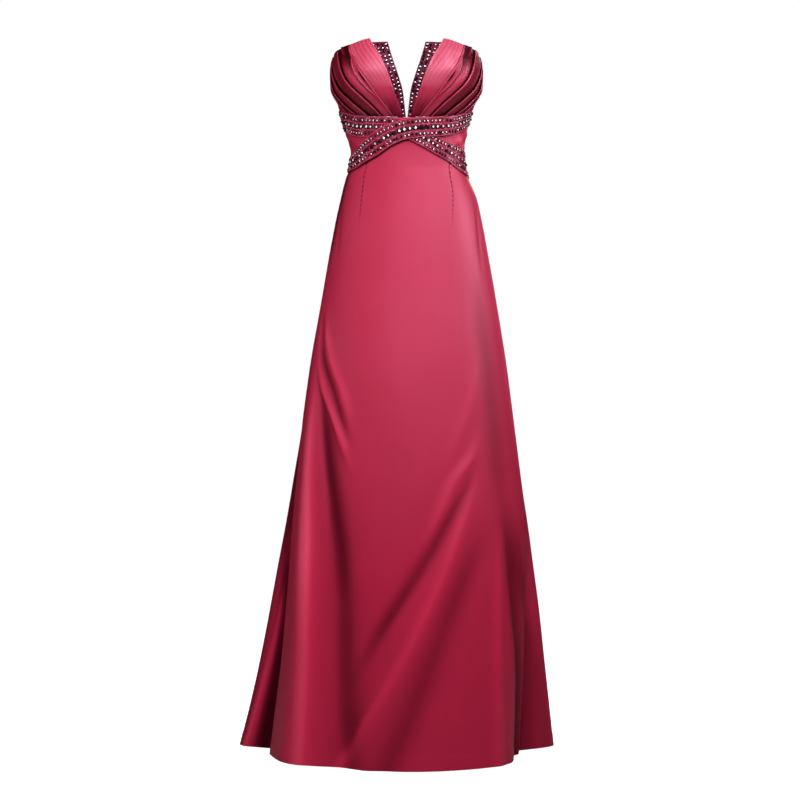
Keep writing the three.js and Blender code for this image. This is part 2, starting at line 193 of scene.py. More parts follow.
# Fine relief of the skirt. A crease has a height, its widths in degrees towards lower and higher
# angles, and a path of (z, angle) from its top to its end. A trough has a negative height.
CREASES = [
    ("upper hook ridge", 4.5, (3.2, 3.4), [(-340, -67), (-400, -59), (-450, -51), (-514, -39), (-620, -27)]),
    (
        "upper hook hollow",
        -7,
        (2.6, 2.8),
        [(-350, -71), (-432, -63.5), (-503, -49), (-540, -43), (-640, -29)],
    ),
    ("lower hook ridge", 6.5, (2.4, 2.8), [(-440, -64), (-506, -56), (-550, -47), (-588, -40), (-680, -28)]),
    (
        "right front valley",
        -8,
        (2.8, 6.5),
        [(-400, -65), (-532, -55), (-586, -50.5), (-664, -45.5)]
        + [(-744, -40), (-840, -35), (-992, -32.5), (-1230, -26)],
    ),
    ("right front crest", 7.5, (8, 3.6), [(-420, -70), (-532, -64), (-692, -59), (-882, -54), (-1230, -48)]),
    ("upper diagonal ridge", 4, (3, 3.4), [(-590, 41), (-636, 35), (-695, 22), (-743, 16.5), (-840, 5)]),
    (
        "diagonal valley",
        -7,
        (3.6, 2.8),
        [(-640, 38), (-690, 32), (-754, 21), (-836, 9), (-923, -4), (-976, -12), (-1100, -28)],
    ),
    (
        "diagonal ridge",
        6.5,
        (2.8, 4.5),
        [(-670, 39), (-720, 32.5), (-790, 23.6), (-871, 15.5), (-1016, -1), (-1096, -11), (-1230, -30)],
    ),
    ("below the diagonal", -5, (6, 6), [(-740, 43), (-900, 24), (-1050, 9), (-1230, -8)]),
    ("left front light", 4, (3, 3), [(-780, 48), (-992, 43.6), (-1230, 42)]),
    ("left front hollow", -6.5, (5, 8), [(-700, 54), (-939, 59), (-1066, 66), (-1230, 70)]),
    ("high diagonal", 1.8, (3.5, 3.5), [(-430, 44), (-520, 38), (-600, 27), (-680, 16)]),
    ("left hip drag", -1.2, (3, 3), [(-120, 74), (-200, 66), (-300, 60)]),
    ("right hip drag", -1, (3, 3), [(-110, -72), (-190, -66), (-280, -60)]),
    ("edge of the inner fold", 4, (0.8, 1.2), INNER_FOLD_EDGE),
    ("left back drag", -3, (4, 4), [(-240, 170), (-420, 164), (-640, 158)]),
    ("right back drag", 3, (4, 4), [(-320, -172), (-500, -166), (-720, -162)]),
    ("left back crest", 3.2, (4.5, 4.5), [(-380, 112), (-560, 118), (-800, 122)]),
    ("right back hollow", -3.2, (4, 4), [(-360, -112), (-560, -118), (-820, -122)]),
    ("left back diagonal", -3.5, (3, 5), [(-520, 168), (-700, 152), (-900, 139), (-1150, 131)]),
    ("right back diagonal", -3.5, (5, 3), [(-600, -170), (-800, -156), (-1000, -146), (-1200, -140)]),
]
# Painted shade and painted highlights: places where the cloth's colour is made darker (negative) and paler
# (positive) than its creases alone make it, as shares of full depth
PAINTED_LIGHT_ROWS = [
    ("foot of the front crest", -0.2, (2, 3.5), [(-420, -64), (-586, -51), (-744, -42), (-960, -34)]),
    ("foot of the front valley", 0.22, (3, 5), [(-820, -36), (-992, -32), (-1110, -29), (-1230, -26)]),
    ("right hip shade", -0.9, (14, 11), [(20, -80), (-130, -82), (-300, -86)]),
    ("left hip rim", 0.7, (9, 12), [(-40, 81), (-300, 81), (-560, 82), (-800, 84)]),
    ("left flank shade", -0.32, (8, 8), [(-230, 50), (-390, 52), (-550, 52), (-820, 50)]),
    ("upper front crest", 0.4, (8, 3.4), [(-440, -68), (-532, -64), (-692, -60), (-882, -55), (-1000, -54)]),
    ("lower front crest", 0.3, (12, 8), [(-640, -59), (-882, -51), (-1110, -46), (-1230, -44)]),
    ("top of the side fold", -0.75, (2.6, 4), [(-420, -93), (-620, -95), (-780, -95.5), (-940, -95)]),
    ("inside the side fold", -1, (1.5, 3), [(-800, -94), (-1038, -94.5), (-1146, -95), (-1230, -95.2)]),
    ("edge of the inner fold", 0.6, (0.6, 0.8), INNER_FOLD_EDGE),
    ("smooth hips", 0.08, (60, 60), [(0, 0), (-200, 0), (-600, 0)]),
    ("right back flank", -0.45, (5, 3), [(-600, -100), (-1230, -101)]),
    ("left side shade", -0.3, (9, 6), [(-740, 60), (-886, 72), (-1012, 90), (-1130, 94), (-1230, 96)]),
]
# Heights in millimetres at which the painted light and shade is full: ridges of creases painted pale, their
# troughs painted dark, and troughs of the large folds painted dark
CREASE_DEPTH = 15
FOLD_DEPTH = 110

# Darts of the skirt front: the angle at the waist seam and at the tip of each
DARTS = table("side waist_angle tip_angle tip_z", (-1, -44.2, -40.2, -190), (1, 46, 34.6, -194))
DART_DEPTH = 0.9
DART_WIDTH = 0.5
PUCKER_DEPTH, PUCKER_WIDTH, PUCKER_PITCH = 0.35, 2.4, 1.5
HEM_TURN = 28
SEAM_GROOVE = 1
SEAM_GROOVE_WIDTH = 4

ZIP_TOP_Z = 40
ZIP_END_Z = -235
ZIP_TAPE_ANGLE = 8
ZIP_OPEN = 0.9
ZIP_STITCH = 6
TAPE_WALL = 1
TAPE_LIFT = -2.9


def curve(at, value):
    """A smooth curve through points that doesn't overshoot between them, for arrays."""
    at = np.asarray(at, float)
    order = np.argsort(at)
    x, y = at[order], np.asarray(value, float)[order]
    steep = np.diff(y) / np.diff(x)
    before, after = steep[:-1], steep[1:]
    turns = before * after <= 0
    inner = np.where(turns, 0, 2 * before * after / np.where(turns, 1, before + after))
    slope = np.concatenate([steep[:1], inner, steep[-1:]])

    def through(t):
        t = np.clip(t, x[0], x[-1])
        i = np.clip(np.searchsorted(x, t, side="right") - 1, 0, len(x) - 2)
        span = x[i + 1] - x[i]
        s = (t - x[i]) / span
        rise = s * s * (3 - 2 * s)
        bow = s * (1 - s)
        return y[i] * (1 - rise) + y[i + 1] * rise + span * bow * (slope[i] * (1 - s) - slope[i + 1] * s)

    return through


def curves(rows, along):
    return {name: curve(rows[along], rows[name]) for name in rows if name != along}


girth = curves(GIRTHS, "z")
fullness = curves(CUP_FULLNESS, "rise")
underbust_z = curves(UNDERBUST_SEAM, "angle")["z"]
top_edge_z = curves(TOP_EDGE, "angle")["z"]
upper_sash = curves(UPPER_SASH, "angle")
lower_sash = curves(LOWER_SASH, "angle")
neck_band = curves(NECK_BAND, "z")


def smoothstep(x, low, high):
    t = np.clip((x - low) / (high - low), 0, 1)
    return t * t * (3 - 2 * t)


def bell(distance, width):
    return np.exp(-((distance / width) ** 2))


def turn_between(a, b):
    return (a - b + 180) % 360 - 180


def level_ground(angle, z):
    return np.zeros(np.broadcast(angle, z).shape)


def fold_height(angle, z):
    height = level_ground(angle, z)
    for start, at, hem_at, width, tall in zip(*FOLDS.values()):
        down = np.clip((start - z) / (start - HEM_Z), 0, None)
        middle = at + (hem_at - at) * down
        height += tall * down**1.15 * bell(turn_between(angle, middle), width)
    return height


def cup_bulge(angle, z):
    rise = z - underbust_z(np.abs(angle))
    middle = fullness["angle"](rise)
    both = bell(angle - middle, CUP_SPREAD) + bell(angle + middle, CUP_SPREAD)
    return fullness["height"](rise) * both


def gown_point(angle, z):
    """Points of the gown's own surface, in millimetres."""
    angle, z = np.broadcast_arrays(np.asarray(angle, float), np.asarray(z, float))
    turn = np.radians(angle)
    across, ahead = np.sin(turn), np.cos(turn)
    half = np.where(across > 0, girth["left"](z), girth["right"](z))
    depth = np.where(ahead > 0, girth["front"](z), girth["back"](z))
    out = np.stack([across / half, -ahead / depth], -1)
    out /= np.linalg.norm(out, axis=-1, keepdims=True)
    lift = fold_height(angle, z) + cup_bulge(angle, z)
    return np.stack([half * across + out[..., 0] * lift, -depth * ahead + out[..., 1] * lift, z], -1)


def outward(angle, z):
    step = 0.5
    along = gown_point(angle + step, z) - gown_point(angle - step, z)
    up = gown_point(angle, z + step) - gown_point(angle, z - step)
    normal = np.cross(along, up)
    return normal / np.linalg.norm(normal, axis=-1, keepdims=True)


def lifted(angle, z, lift):
    """Points of the surface moved out along its normal."""
    return gown_point(angle, z) + outward(angle, z) * np.asarray(lift)[..., None]


def degree(z):
    """Millimetres that one degree takes at a height."""
    return np.radians((girth["left"](z) + girth["front"](z)) / 2)


def crease_height(angle, z, rows=CREASES):
    height = level_ground(angle, z)
    for _, tall, widths, path in rows:
        heights, angles = zip(*path)
        top, end = heights[0], heights[-1]
        t = np.clip((top - z) / (top - end), 0, 1)
        fade = smoothstep(t, 0, 0.3)
        if end > HEM_Z:
            fade = fade * (1 - smoothstep(t, 0.65, 1))
        away = turn_between(angle, curve(heights, angles)(z))
        height += tall * fade * bell(away, np.where(away < 0, *widths))
    return height


def unevenness(angle, z):
    """The slight waves of cloth that hangs free, in bands that are never quite alike."""
    turn = np.radians(angle)
    free = smoothstep(-z, 90, 500)
    slow = np.sin(5 * turn + z / 160) * np.sin(z / 97 + 2 * turn)
    fine = np.sin(13 * turn - z / 74 + 1.3) * np.sin(z / 51 + 3 * turn)
    level = np.sin(z / 11.5 + 2.2 * np.sin(4 * turn)) * np.sin(3 * turn + z / 60)
    return free * (0.9 * slow + 0.35 * fine) + 0.14 * level * (1 - 0.6 * free)


def dart_height(angle, z):
    height = level_ground(angle, z)
    for _, waist_at, tip_at, tip_z in zip(*DARTS.values()):
        top_z = waist_z(np.array(waist_at))
        t = np.clip((top_z - z) / (top_z - tip_z), 0, 1)
        middle = waist_at + (tip_at - waist_at) * t
        deep = DART_DEPTH * (1 - t) ** 0.5 * (z > tip_z)
        away = np.abs(angle - middle)
        pucker = PUCKER_DEPTH * np.sin(z / PUCKER_PITCH) * bell(away, PUCKER_WIDTH)
        height -= deep * (bell(away, DART_WIDTH) + pucker)
    return height


def seam_height(angle, z, seams):
    """A soft groove along each seam, with the small puckers that its stitches make."""
    height = level_ground(angle, z)
    for seam in seams:
        away = np.abs(turn_between(angle, seam)) * degree(z)
        groove = np.clip(1 - away / SEAM_GROOVE_WIDTH, 0, 1) ** 2
        pucker = 0.22 * np.sin(z / 3.1 + 1.7 * np.sin(z / 23)) * bell(away, 11)
        height -= SEAM_GROOVE * groove + pucker
    return height


def hem_height(angle, z):
    """The turned hem is a little thicker, and its blind stitches dimple the cloth above it."""
    above = z - HEM_Z
    turn = 0.5 * (1 - smoothstep(above, HEM_TURN - 2, HEM_TURN + 1))
    dimple = 0.18 * (1 + np.sin(angle * 7.5)) * bell(above - HEM_TURN, 3)
    return turn - dimple


# The waist seam follows the low edges of the sashes in front and levels out behind.
def waist_z(angle):
    front = np.where(angle < 0, upper_sash["bottom"](angle), lower_sash["bottom"](angle))
    level = smoothstep(np.abs(angle), SIDE_SEAM, BACK_WAIST_FROM)
    return front + (BACK_WAIST_Z - front) * level


def gap_angle(z):
    return SEAM_GAP / 2 / degree(z)


def skirt_painted_light(angle, z):
    """Painted light and shade of the skirt, from -1 for painted shade deep in a crease to 1 for a painted
    highlight along a sharp crest.
    """
    # painted shade in the troughs of creases and painted highlight on their ridges, with the rows of painted
    # light and shade added
    painted_light = crease_height(angle, z) / CREASE_DEPTH + crease_height(angle, z, PAINTED_LIGHT_ROWS)
    # painted shade in the troughs of the large folds
    painted_light += np.minimum(fold_height(angle, z), 0) / FOLD_DEPTH
    # a painted shadow along the waist seam, under the sash edges
    below_seam = waist_z(angle) - z
    painted_light -= 0.9 * bell(below_seam, 3.5)
    # painted shade in the dart grooves, broken into dashes by the puckers
    painted_dart_shade = 0.6 + 0.25 * np.sin(z / PUCKER_PITCH)
    painted_light -= painted_dart_shade * smoothstep(-dart_height(angle, z), 0.12, 0.6)
    return np.clip(painted_light, -1, 1)


# Meshes


def wall_faces(columns, rows):
    """Quads of a closed wall: its outer and inner grids and the four rims between them."""
    outer = np.arange(columns * rows).reshape(columns, rows)
    inner = outer + columns * rows

    def quads(a, b, c, d):
        return np.stack([a.ravel(), b.ravel(), c.ravel(), d.ravel()], -1)

    return np.concatenate(
        [
            quads(outer[:-1, :-1], outer[:-1, 1:], outer[1:, 1:], outer[1:, :-1]),
            quads(inner[:-1, :-1], inner[1:, :-1], inner[1:, 1:], inner[:-1, 1:]),
            quads(outer[:-1, 0], outer[1:, 0], inner[1:, 0], inner[:-1, 0]),
            quads(inner[:-1, -1], inner[1:, -1], outer[1:, -1], outer[:-1, -1]),
            quads(inner[0, :-1], inner[0, 1:], outer[0, 1:], outer[0, :-1]),
            quads(outer[-1, :-1], outer[-1, 1:], inner[-1, 1:], inner[-1, :-1]),
        ]
    )


def add_object(name, data):
    made = bpy.data.objects.new(name, data)
    bpy.context.scene.collection.objects.link(made)
    return made


def tell(piece, name, domain, values):
    """Gives each point or face a value that the materials read by its name."""
    attribute = piece.data.attributes.new(name, "FLOAT", domain)
    attribute.data.foreach_set("value", values.astype(np.float32))


def make_mesh(name, points, faces, material, body="root", slot=None, replaces=(), smooth=True, sharp=50):
    """An object from points in millimetres, ridden on its body."""
    mesh = bpy.data.meshes.new(name)
    mesh.from_pydata((np.asarray(points) * MM).tolist(), [], [list(face) for face in faces])
    mesh.validate()
    if smooth:
        mesh.shade_smooth()
        mesh.set_sharp_from_angle(angle=math.radians(sharp))
    mesh.materials.append(material)
    piece = add_object(name, mesh)
    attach(piece, body)
    if replaces:
        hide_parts(*replaces)
    return piece


def make_wall(name, outer, inner, material, painted_light=None, **said):
    """A closed shell between an outer and an inner grid of points, with painted light and shade for each
    point.
    """
    columns, rows = outer.shape[:2]
    points = np.concatenate([outer.reshape(-1, 3), inner.reshape(-1, 3)])
    piece = make_mesh(name, points, wall_faces(columns, rows).tolist(), material, **said)
    if painted_light is not None:
        tell(piece, "painted_light", "POINT", np.concatenate([painted_light.ravel(), painted_light.ravel()]))
    return piece


def add_shell(name, outer, inner, material, slot, painted_light=None):
    """A piece of cloth between two grids of points."""
    piece = make_wall(name + "_cloth", outer, inner, material, painted_light, slot=slot, replaces=[name])


def add_cloth(name, angle, z, lift, under, material, slot, painted_light=None):
    """A piece of cloth between two lifts over the gown's surface."""
    add_shell(name, lifted(angle, z, lift), lifted(angle, z, under), material, slot, painted_light)


def spread(start, end, count, *dense):
    """Places from start to end, closer together around each (middle, width, share more)."""
    fine = np.linspace(start, end, 4000)
    weight = np.ones_like(fine)
    for middle, width, more in dense:
        weight += more * bell(fine - middle, width)
    total = np.concatenate([[0], np.cumsum((weight[1:] + weight[:-1]) / 2 * np.diff(fine))])
    return np.interp(np.linspace(0, total[-1], count), total, fine)


# Materials


def new_material(name):
    material = bpy.data.materials.new(name)
    material.use_nodes = True
    tree = material.node_tree
    return material, tree, tree.nodes["Principled BSDF"]


def node(tree, kind, **settings):
    made = tree.nodes.new(kind)
    for key, value in settings.items():
        if key in made.inputs:
            made.inputs[key].default_value = value
        else:
            setattr(made, key, value)
    return made


def stretched(tree, scale):
    """Object coordinates in metres, stretched by a scale for each axis."""
    place = node(tree, "ShaderNodeTexCoord")
    mapping = node(tree, "ShaderNodeMapping")
    mapping.inputs["Scale"].default_value = scale
    tree.links.new(place.outputs["Object"], mapping.inputs["Vector"])
    return mapping.outputs["Vector"]


def noise(tree, scale, detail=2.0, roughness=0.5):
    texture = node(tree, "ShaderNodeTexNoise", Scale=1.0, Detail=detail, Roughness=roughness)
    tree.links.new(stretched(tree, scale), texture.inputs["Vector"])
    return texture.outputs["Fac"]


def mapped(tree, value, low, high, new_low, new_high):
    limits = {"From Min": low, "From Max": high, "To Min": new_low, "To Max": new_high}
    made = node(tree, "ShaderNodeMapRange", **limits)
    tree.links.new(value, made.inputs["Value"])
    return made.outputs["Result"]


def combined(tree, operation, *values):
    """A sum or a product of links and plain numbers."""
    made = node(tree, "ShaderNodeMath", operation=operation)
    for socket, value in zip(made.inputs, values):
        if isinstance(value, float):
            socket.default_value = value
        else:
            tree.links.new(value, socket)
    return made.outputs[0]


def ramp(tree, factor, *stops):
    made = tree.nodes.new("ShaderNodeValToRGB")
    elements = made.color_ramp.elements
    while len(elements) < len(stops):
        elements.new(0.5)
    for element, (position, colour) in zip(elements, stops):
        element.position = position
        element.color = (*colour, 1)
    tree.links.new(factor, made.inputs["Fac"])
    return made.outputs["Color"]


# From a satin's deepest painted shade to its palest painted highlight: the share of its own colour, and of
# the pink mixed in as painted highlight
PAINTED_LIGHT_STOPS = table(
    "place share pink",
    (0, 0.1, 0),
    (0.25, 0.42, 0),
    (0.5, 1, 0),
    (0.75, 1.35, 0),
    (1, 1.7, 0.045),
)
# Pink mixed into the palest stops as painted highlight
HIGHLIGHT_PINK = (1, 0.75, 0.95)
MOTTLE = 0.12
# Painted shade in the gloss: the long skirt's shine falls off between these heights, in metres, to this
# share
SHINE_FALLOFF_HEIGHTS = (-0.9, -0.35)
SHINE_FALLOFF_SHARE = 0.15
PLAIN_SHINE = 0.525
SATIN_SHEEN, PLEAT_SHEEN = (1, 0.4, 0.62), (1, 0.52, 0.72)


def painted_light_shine(tree, painted_light, gloss):
    """Shine that follows the painted light and shade, weak in creases and strong on crests, and falls off
    down the skirt as painted shade.
    """
    place = node(tree, "ShaderNodeSeparateXYZ")
    tree.links.new(stretched(tree, (1, 1, 1)), place.inputs[0])
    by_painted_light = mapped(tree, painted_light, -0.7, 0.7, 0.05 * gloss, gloss)
    by_height = mapped(tree, place.outputs["Z"], *SHINE_FALLOFF_HEIGHTS, SHINE_FALLOFF_SHARE, 1)
    return combined(tree, "MULTIPLY", by_painted_light, by_height)


def satin(name, colour, roughness=0.5, gloss=1, ior=2, sheen=SATIN_SHEEN, grain=0.4, pink=1, reads_painted_light=False):
    """Satin: long shiny warp floats down the cloth, a faint slub across and uneven depth of dye.
    Where its pieces carry painted light and shade, its colour is painted darker in the shade and paler, with
    pink, on the highlights, and its shine follows."""
    material, tree, shader = new_material(name)
    painted_light = node(tree, "ShaderNodeAttribute", attribute_name="painted_light").outputs["Fac"]
    cloud = noise(tree, (7, 7, 5), detail=7, roughness=0.68)
    # The painted light and shade sets the place on the colour ramp, and the mottle moves it a little at
    # random
    depth = mapped(tree, painted_light, -1, 1, -MOTTLE / 2, 1 - MOTTLE / 2)
    stops = []
    for place, share, mixed in zip(*PAINTED_LIGHT_STOPS.values()):
        stops.append((place, tuple(share * c + pink * mixed * p for c, p in zip(colour, HIGHLIGHT_PINK))))
    base_colour = ramp(tree, combined(tree, "MULTIPLY_ADD", cloud, MOTTLE, depth), *stops)
    tree.links.new(base_colour, shader.inputs["Base Color"])
    if reads_painted_light:
        tree.links.new(painted_light_shine(tree, painted_light, gloss), shader.inputs["Specular IOR Level"])
    else:
        shader.inputs["Specular IOR Level"].default_value = PLAIN_SHINE * gloss
    shader.inputs["IOR"].default_value = ior
    shader.inputs["Specular Tint"].default_value = (*sheen, 1)
    slub = noise(tree, (260, 260, 900), detail=2)
    warp = noise(tree, (1500, 1500, 160), detail=1)
    rough = mapped(tree, slub, 0, 1, roughness - 0.06, roughness + 0.07)
    tree.links.new(rough, shader.inputs["Roughness"])
    bump = node(tree, "ShaderNodeBump", Strength=grain, Distance=0.0002)
    tree.links.new(combined(tree, "ADD", warp, slub), bump.inputs["Height"])
    tree.links.new(bump.outputs["Normal"], shader.inputs["Normal"])
    return material


def glossy(name, colours, roughness, metal):
    """Stones, beads and metal: each takes one of a few colours by its own tint."""
    material, tree, shader = new_material(name)
    tint = node(tree, "ShaderNodeAttribute", attribute_name="tint")
    colour = ramp(tree, tint.outputs["Fac"], *colours)
    colour.node.color_ramp.interpolation = "CONSTANT"
    tree.links.new(colour, shader.inputs["Base Color"])
    shader.inputs["Roughness"].default_value = roughness
    shader.inputs["Metallic"].default_value = metal
    return material


SATIN_RED, PLEAT_RED = (0.37, 0.012, 0.042), (0.32, 0.0105, 0.038)
# The skirt and cup satins take the painted light and shade of their pieces
skirt_satin = satin("raspberry_satin", SATIN_RED, reads_painted_light=True)
pleat_satin = satin("pleated_satin", PLEAT_RED, roughness=0.46, sheen=PLEAT_SHEEN, pink=3, reads_painted_light=True)
sash_satin = satin("sash_satin", (0.24, 0.008, 0.03), roughness=0.45, grain=0.5)
neck_satin = satin("neck_satin", (0.12, 0.004, 0.018), roughness=0.45, grain=0.5)
piping_satin = satin("piping_satin", (0.5, 0.06, 0.1), roughness=0.35)
tape_cloth = satin("zip_tape_cloth", (0.16, 0.008, 0.024), roughness=0.7, gloss=0.3, ior=1.5, grain=0.8)
thread = satin("satin_thread", (0.16, 0.005, 0.018), roughness=0.5, gloss=0.5, ior=1.5, grain=0.6)
# Tint of the facets painted near-black as dark reflections
DARK_REFLECTION_TINT = 0.95
# The white of the clear stones is painted glint, and the garnet colour also paints the facets' dark
# reflections
WHITE_GLINT_STONE, PINK_STONE, GARNET_AND_DARK_REFLECTION = (0.97, 0.94, 0.97), (0.85, 0.42, 0.58), (0.03, 0.002, 0.012)
crystal = glossy("crystal", [(0, WHITE_GLINT_STONE), (0.62, PINK_STONE), (0.74, GARNET_AND_DARK_REFLECTION)], 0.1, 0.0)
RED_GLASS, DARK_METAL, WORN_METAL = (0.4, 0.03, 0.09), (0.012, 0.002, 0.006), (0.025, 0.003, 0.01)
seed_glass = glossy("seed_glass", [(0, RED_GLASS), (0.35, GARNET_AND_DARK_REFLECTION), (0.85, PINK_STONE)], 0.15, 0.2)
setting_metal = glossy("setting_metal", [(0, DARK_METAL), (0.5, WORN_METAL)], 0.35, 0.3)


def enamel(name, colour):
    """Metal dyed to match the satin, with small rubs that show in its gloss."""
    material, tree, shader = new_material(name)
    dark, light = (tuple(share * c for c in colour) for share in (0.85, 1.15))
    base_colour = ramp(tree, noise(tree, (900, 900, 900)), (0.3, dark), (0.7, light))
    tree.links.new(base_colour, shader.inputs["Base Color"])
    rubs = noise(tree, (300, 300, 2200), detail=4)
    tree.links.new(mapped(tree, rubs, 0, 1, 0.2, 0.45), shader.inputs["Roughness"])
    shader.inputs["Metallic"].default_value = 0.6
    return material


zip_enamel = enamel("zip_enamel", (0.35, 0.02, 0.06))


# Skirt
FRONT_COLUMNS, FRONT_ROWS = 230, 200
BACK_COLUMNS, BACK_ROWS = 110, 160


def add_panel(name, angles, down, top, bottom, relief, painted_light):
    """A plain panel from its top edge to its bottom edge."""
    angle = angles[:, None]
    z = top(angle) + (bottom(angle) - top(angle)) * down
    lift = relief(angle, z)
    add_cloth(name, angle, z, lift, lift - PANEL_WALL, skirt_satin, "satin", painted_light(angle, z))


def skirt_relief(angle, z, seams):
    fine = crease_height(angle, z) + unevenness(angle, z) + hem_height(angle, z)
    return fine + seam_height(angle, z, seams)


def add_skirt():
    """Panels from the waist seam to the hem, with finer grids at the darts, folds, waist and hem."""
    top, bottom = lambda angle: waist_z(angle) - SEAM_GAP, lambda angle: HEM_Z
    side_seams = [-SIDE_SEAM, SIDE_SEAM]
    front_relief = lambda angle, z: skirt_relief(angle, z, side_seams) + dart_height(angle, z)
    back_relief = lambda angle, z: skirt_relief(angle, z, side_seams + [CENTRE_BACK])
    darts = [(-42.5, 3, 3), (40, 7, 2)]
    folds = [(-90, 8, 2.0), (88, 8, 1.5)]
    front = spread(-SIDE_SEAM, SIDE_SEAM, FRONT_COLUMNS, *darts, *folds)
    back = spread(SIDE_SEAM, CENTRE_BACK, BACK_COLUMNS, (97, 8, 2.5), (CENTRE_BACK, 2, 3))
    panels = [
        ("skirt_front", front, FRONT_ROWS, front_relief),
        ("skirt_back_left", back, BACK_ROWS, back_relief),
        ("skirt_back_right", -back[::-1], BACK_ROWS, back_relief),
    ]
    for name, angles, rows, relief in panels:
        down = spread(0, 1, rows, (0, 0.12, 2.5), (1, 0.03, 2))
        add_panel(name, angles, down, top, bottom, relief, skirt_painted_light)


# Bodice
MIDRIFF_COLUMNS, MIDRIFF_ROWS = 150, 60
BODICE_COLUMNS, BODICE_ROWS = 90, 110


def midriff_drag(angle, z):
    """Drag lines fan from the sides into the plain corners between the sashes, most on the left."""
    side = smoothstep(np.abs(angle), 42, 75) * np.where(angle > 0, 1, 0.4)
    fan = np.sin((z + 10) / 5.5 + angle / 7) + 0.6 * np.sin(z / 3.7 - np.abs(angle) / 5)
    return side * fan


def midriff_relief(angle, z):
    return 1.1 * midriff_drag(angle, z) + seam_height(angle, z, [-SIDE_SEAM, SIDE_SEAM])


# Painted light and shade of the midriff: paler and darker along its drag lines, paler towards the wearer's
# left, and a little paler all over
def midriff_painted_light(angle, z):
    return 0.3 * midriff_drag(angle, z) + 0.45 * smoothstep(angle, 35, 70) + 0.15


# Painted highlight just under the back's top edge and painted shade in the groove of its topstitching
def back_painted_light(angle, z):
    from_top = top_edge_z(np.abs(angle)) - z
    return 0.15 * bell(from_top - 3, 2.5) - 0.4 * bell(from_top - 6.3, 0.9)


def back_relief(angle, z):
    """A fitted back: a few drag lines at the waist, and a stitched top edge."""
    turn = np.radians(angle)
    waist = bell(z + 45, 40)
    drag = 0.55 * waist * np.sin(z / 8 + 3 * np.cos(2 * turn)) * np.sin(6 * turn) ** 2
    from_top = top_edge_z(np.abs(angle)) - z
    topstitch = -0.35 * bell(from_top - 6, 0.9)
    ease = 0.3 * np.sin(z / 27 + 5 * turn)
    return drag + topstitch + ease + seam_height(angle, z, [-SIDE_SEAM, SIDE_SEAM, CENTRE_BACK])


def add_bodice():
    edge = SIDE_SEAM - gap_angle(0)
    top = lambda angle: underbust_z(np.abs(angle)) - SEAM_GAP
    down = np.linspace(0, 1, MIDRIFF_ROWS)
    across = spread(-edge, edge, MIDRIFF_COLUMNS)
    add_panel("midriff_front", across, down, top, waist_z, midriff_relief, midriff_painted_light)
    start = SIDE_SEAM + gap_angle(0)
    back = spread(start, CENTRE_BACK - ZIP_OPEN / degree(0), BODICE_COLUMNS, (CENTRE_BACK, 3, 3))
    back_top = lambda angle: top_edge_z(np.abs(angle))
    said = (np.linspace(0, 1, BODICE_ROWS), back_top, waist_z, back_relief, back_painted_light)
    add_panel("bodice_back_left", back, *said)
    add_panel("bodice_back_right", -back[::-1], *said)


# Cups. Each pleat is a real fold: the cloth comes out from under it, turns round its nose and runs on
# to the next one. A shift moves a station towards the side. Shifts and heights are in millimetres.
NOSE = table(
    "shift height",
    (6.5, -1),
    (7.2, 0),
    (6, 1.1),
    (3, 1.8),
    (0.4, 2.1),
    (-1.4, 2.5),
    (-2, 3.2),
    (-1.4, 4),
    (-0.3, 4.3),
)
# The first pleat is folded open into a narrow leaf with a nose of its own.
LEAF = table(
    "across shift height",
    (0.05, 0, 2.6),
    (0.22, 0, 1.8),
    (0.50, 0, 1.6),
    (0.78, 0, 2.2),
    (0.93, 0, 3.3),
    (1.00, -0.3, 4.4),
    (1.00, 0.4, 5),
    (1.00, 1.1, 4.6),
    (1.00, 1.5, 2.6),
    (1.00, 2.4, 0.3),
)
LEAF_LOW, LEAF_HIGH = 0.25, 0.79
LEAF_WIDTH, LEAF_CLOSED = 3.5, 0.3
# Each pleat holds its height to a share of its width and then falls to the floor of the next fold.
PLEAT_FALLS_FROM = [0.62, 0.5, 0.05, 0.45, 0.1]
# Painted light and shade of each pleat, and the painted shade over the top of the first one
PLEAT_PAINTED_LIGHT = [0.2, -0.45, 0, -0.45, -0.1]
FIRST_PLEAT_SHADE = 1.1
PLEAT_TOP = 4.3
PLEAT_FLOOR = -1.3
PLEAT_FULL_WIDTH = 17
# Creases that cross the pleats: height, width in degrees, and a path of (z, angle)
CUP_CREASES = [
    ("second fold edge", 1.5, 1.5, [(150, 74), (142, 71.5), (125, 64.5), (106, 58), (86, 52.4), (70, 48)]),
    (
        "beside the second fold",
        -1.6,
        1.6,
        [(150, 77.5), (142, 74.7), (125, 67.7), (106, 61), (86, 55.2), (70, 50)],
    ),
    ("flap tuck", 0.9, 1.6, [(164, 44), (150, 41), (135, 36)]),
    ("top tuck", 1.8, 1.6, [(166, 56), (153, 50.5), (138, 45.5)]),
    ("beside the top tuck", -1.4, 1.5, [(166, 60), (153, 54), (138, 49)]),
    ("flap pull", -0.7, 2.2, [(80, 12), (60, 11), (40, 9), (28, 7)]),
    ("flap pull", -0.6, 1.6, [(62, 17), (45, 13.5), (28, 10)]),
]
LEVELS = ["foot", "low", "middle", "high", "head"]
level_angles = [curve(np.arange(len(PLEAT_LINES["foot"])), PLEAT_LINES[level]) for level in LEVELS]


def line_angle(line, up):
    """Angles of pleat lines at heights: each line is a curve through its five stated places."""
    places = np.linspace(0, 1, len(LEVELS))
    rows = [curve(places, [float(angle_of(one)) for angle_of in level_angles])(up) for one in line]
    return np.array(rows)


def finer(rows, times):
    """The same stations with more between them."""
    count = len(next(iter(rows.values())))
    at = np.linspace(0, count - 1, times * (count - 1) + 1)
    return {name: curve(np.arange(count), column)(at) for name, column in rows.items()}


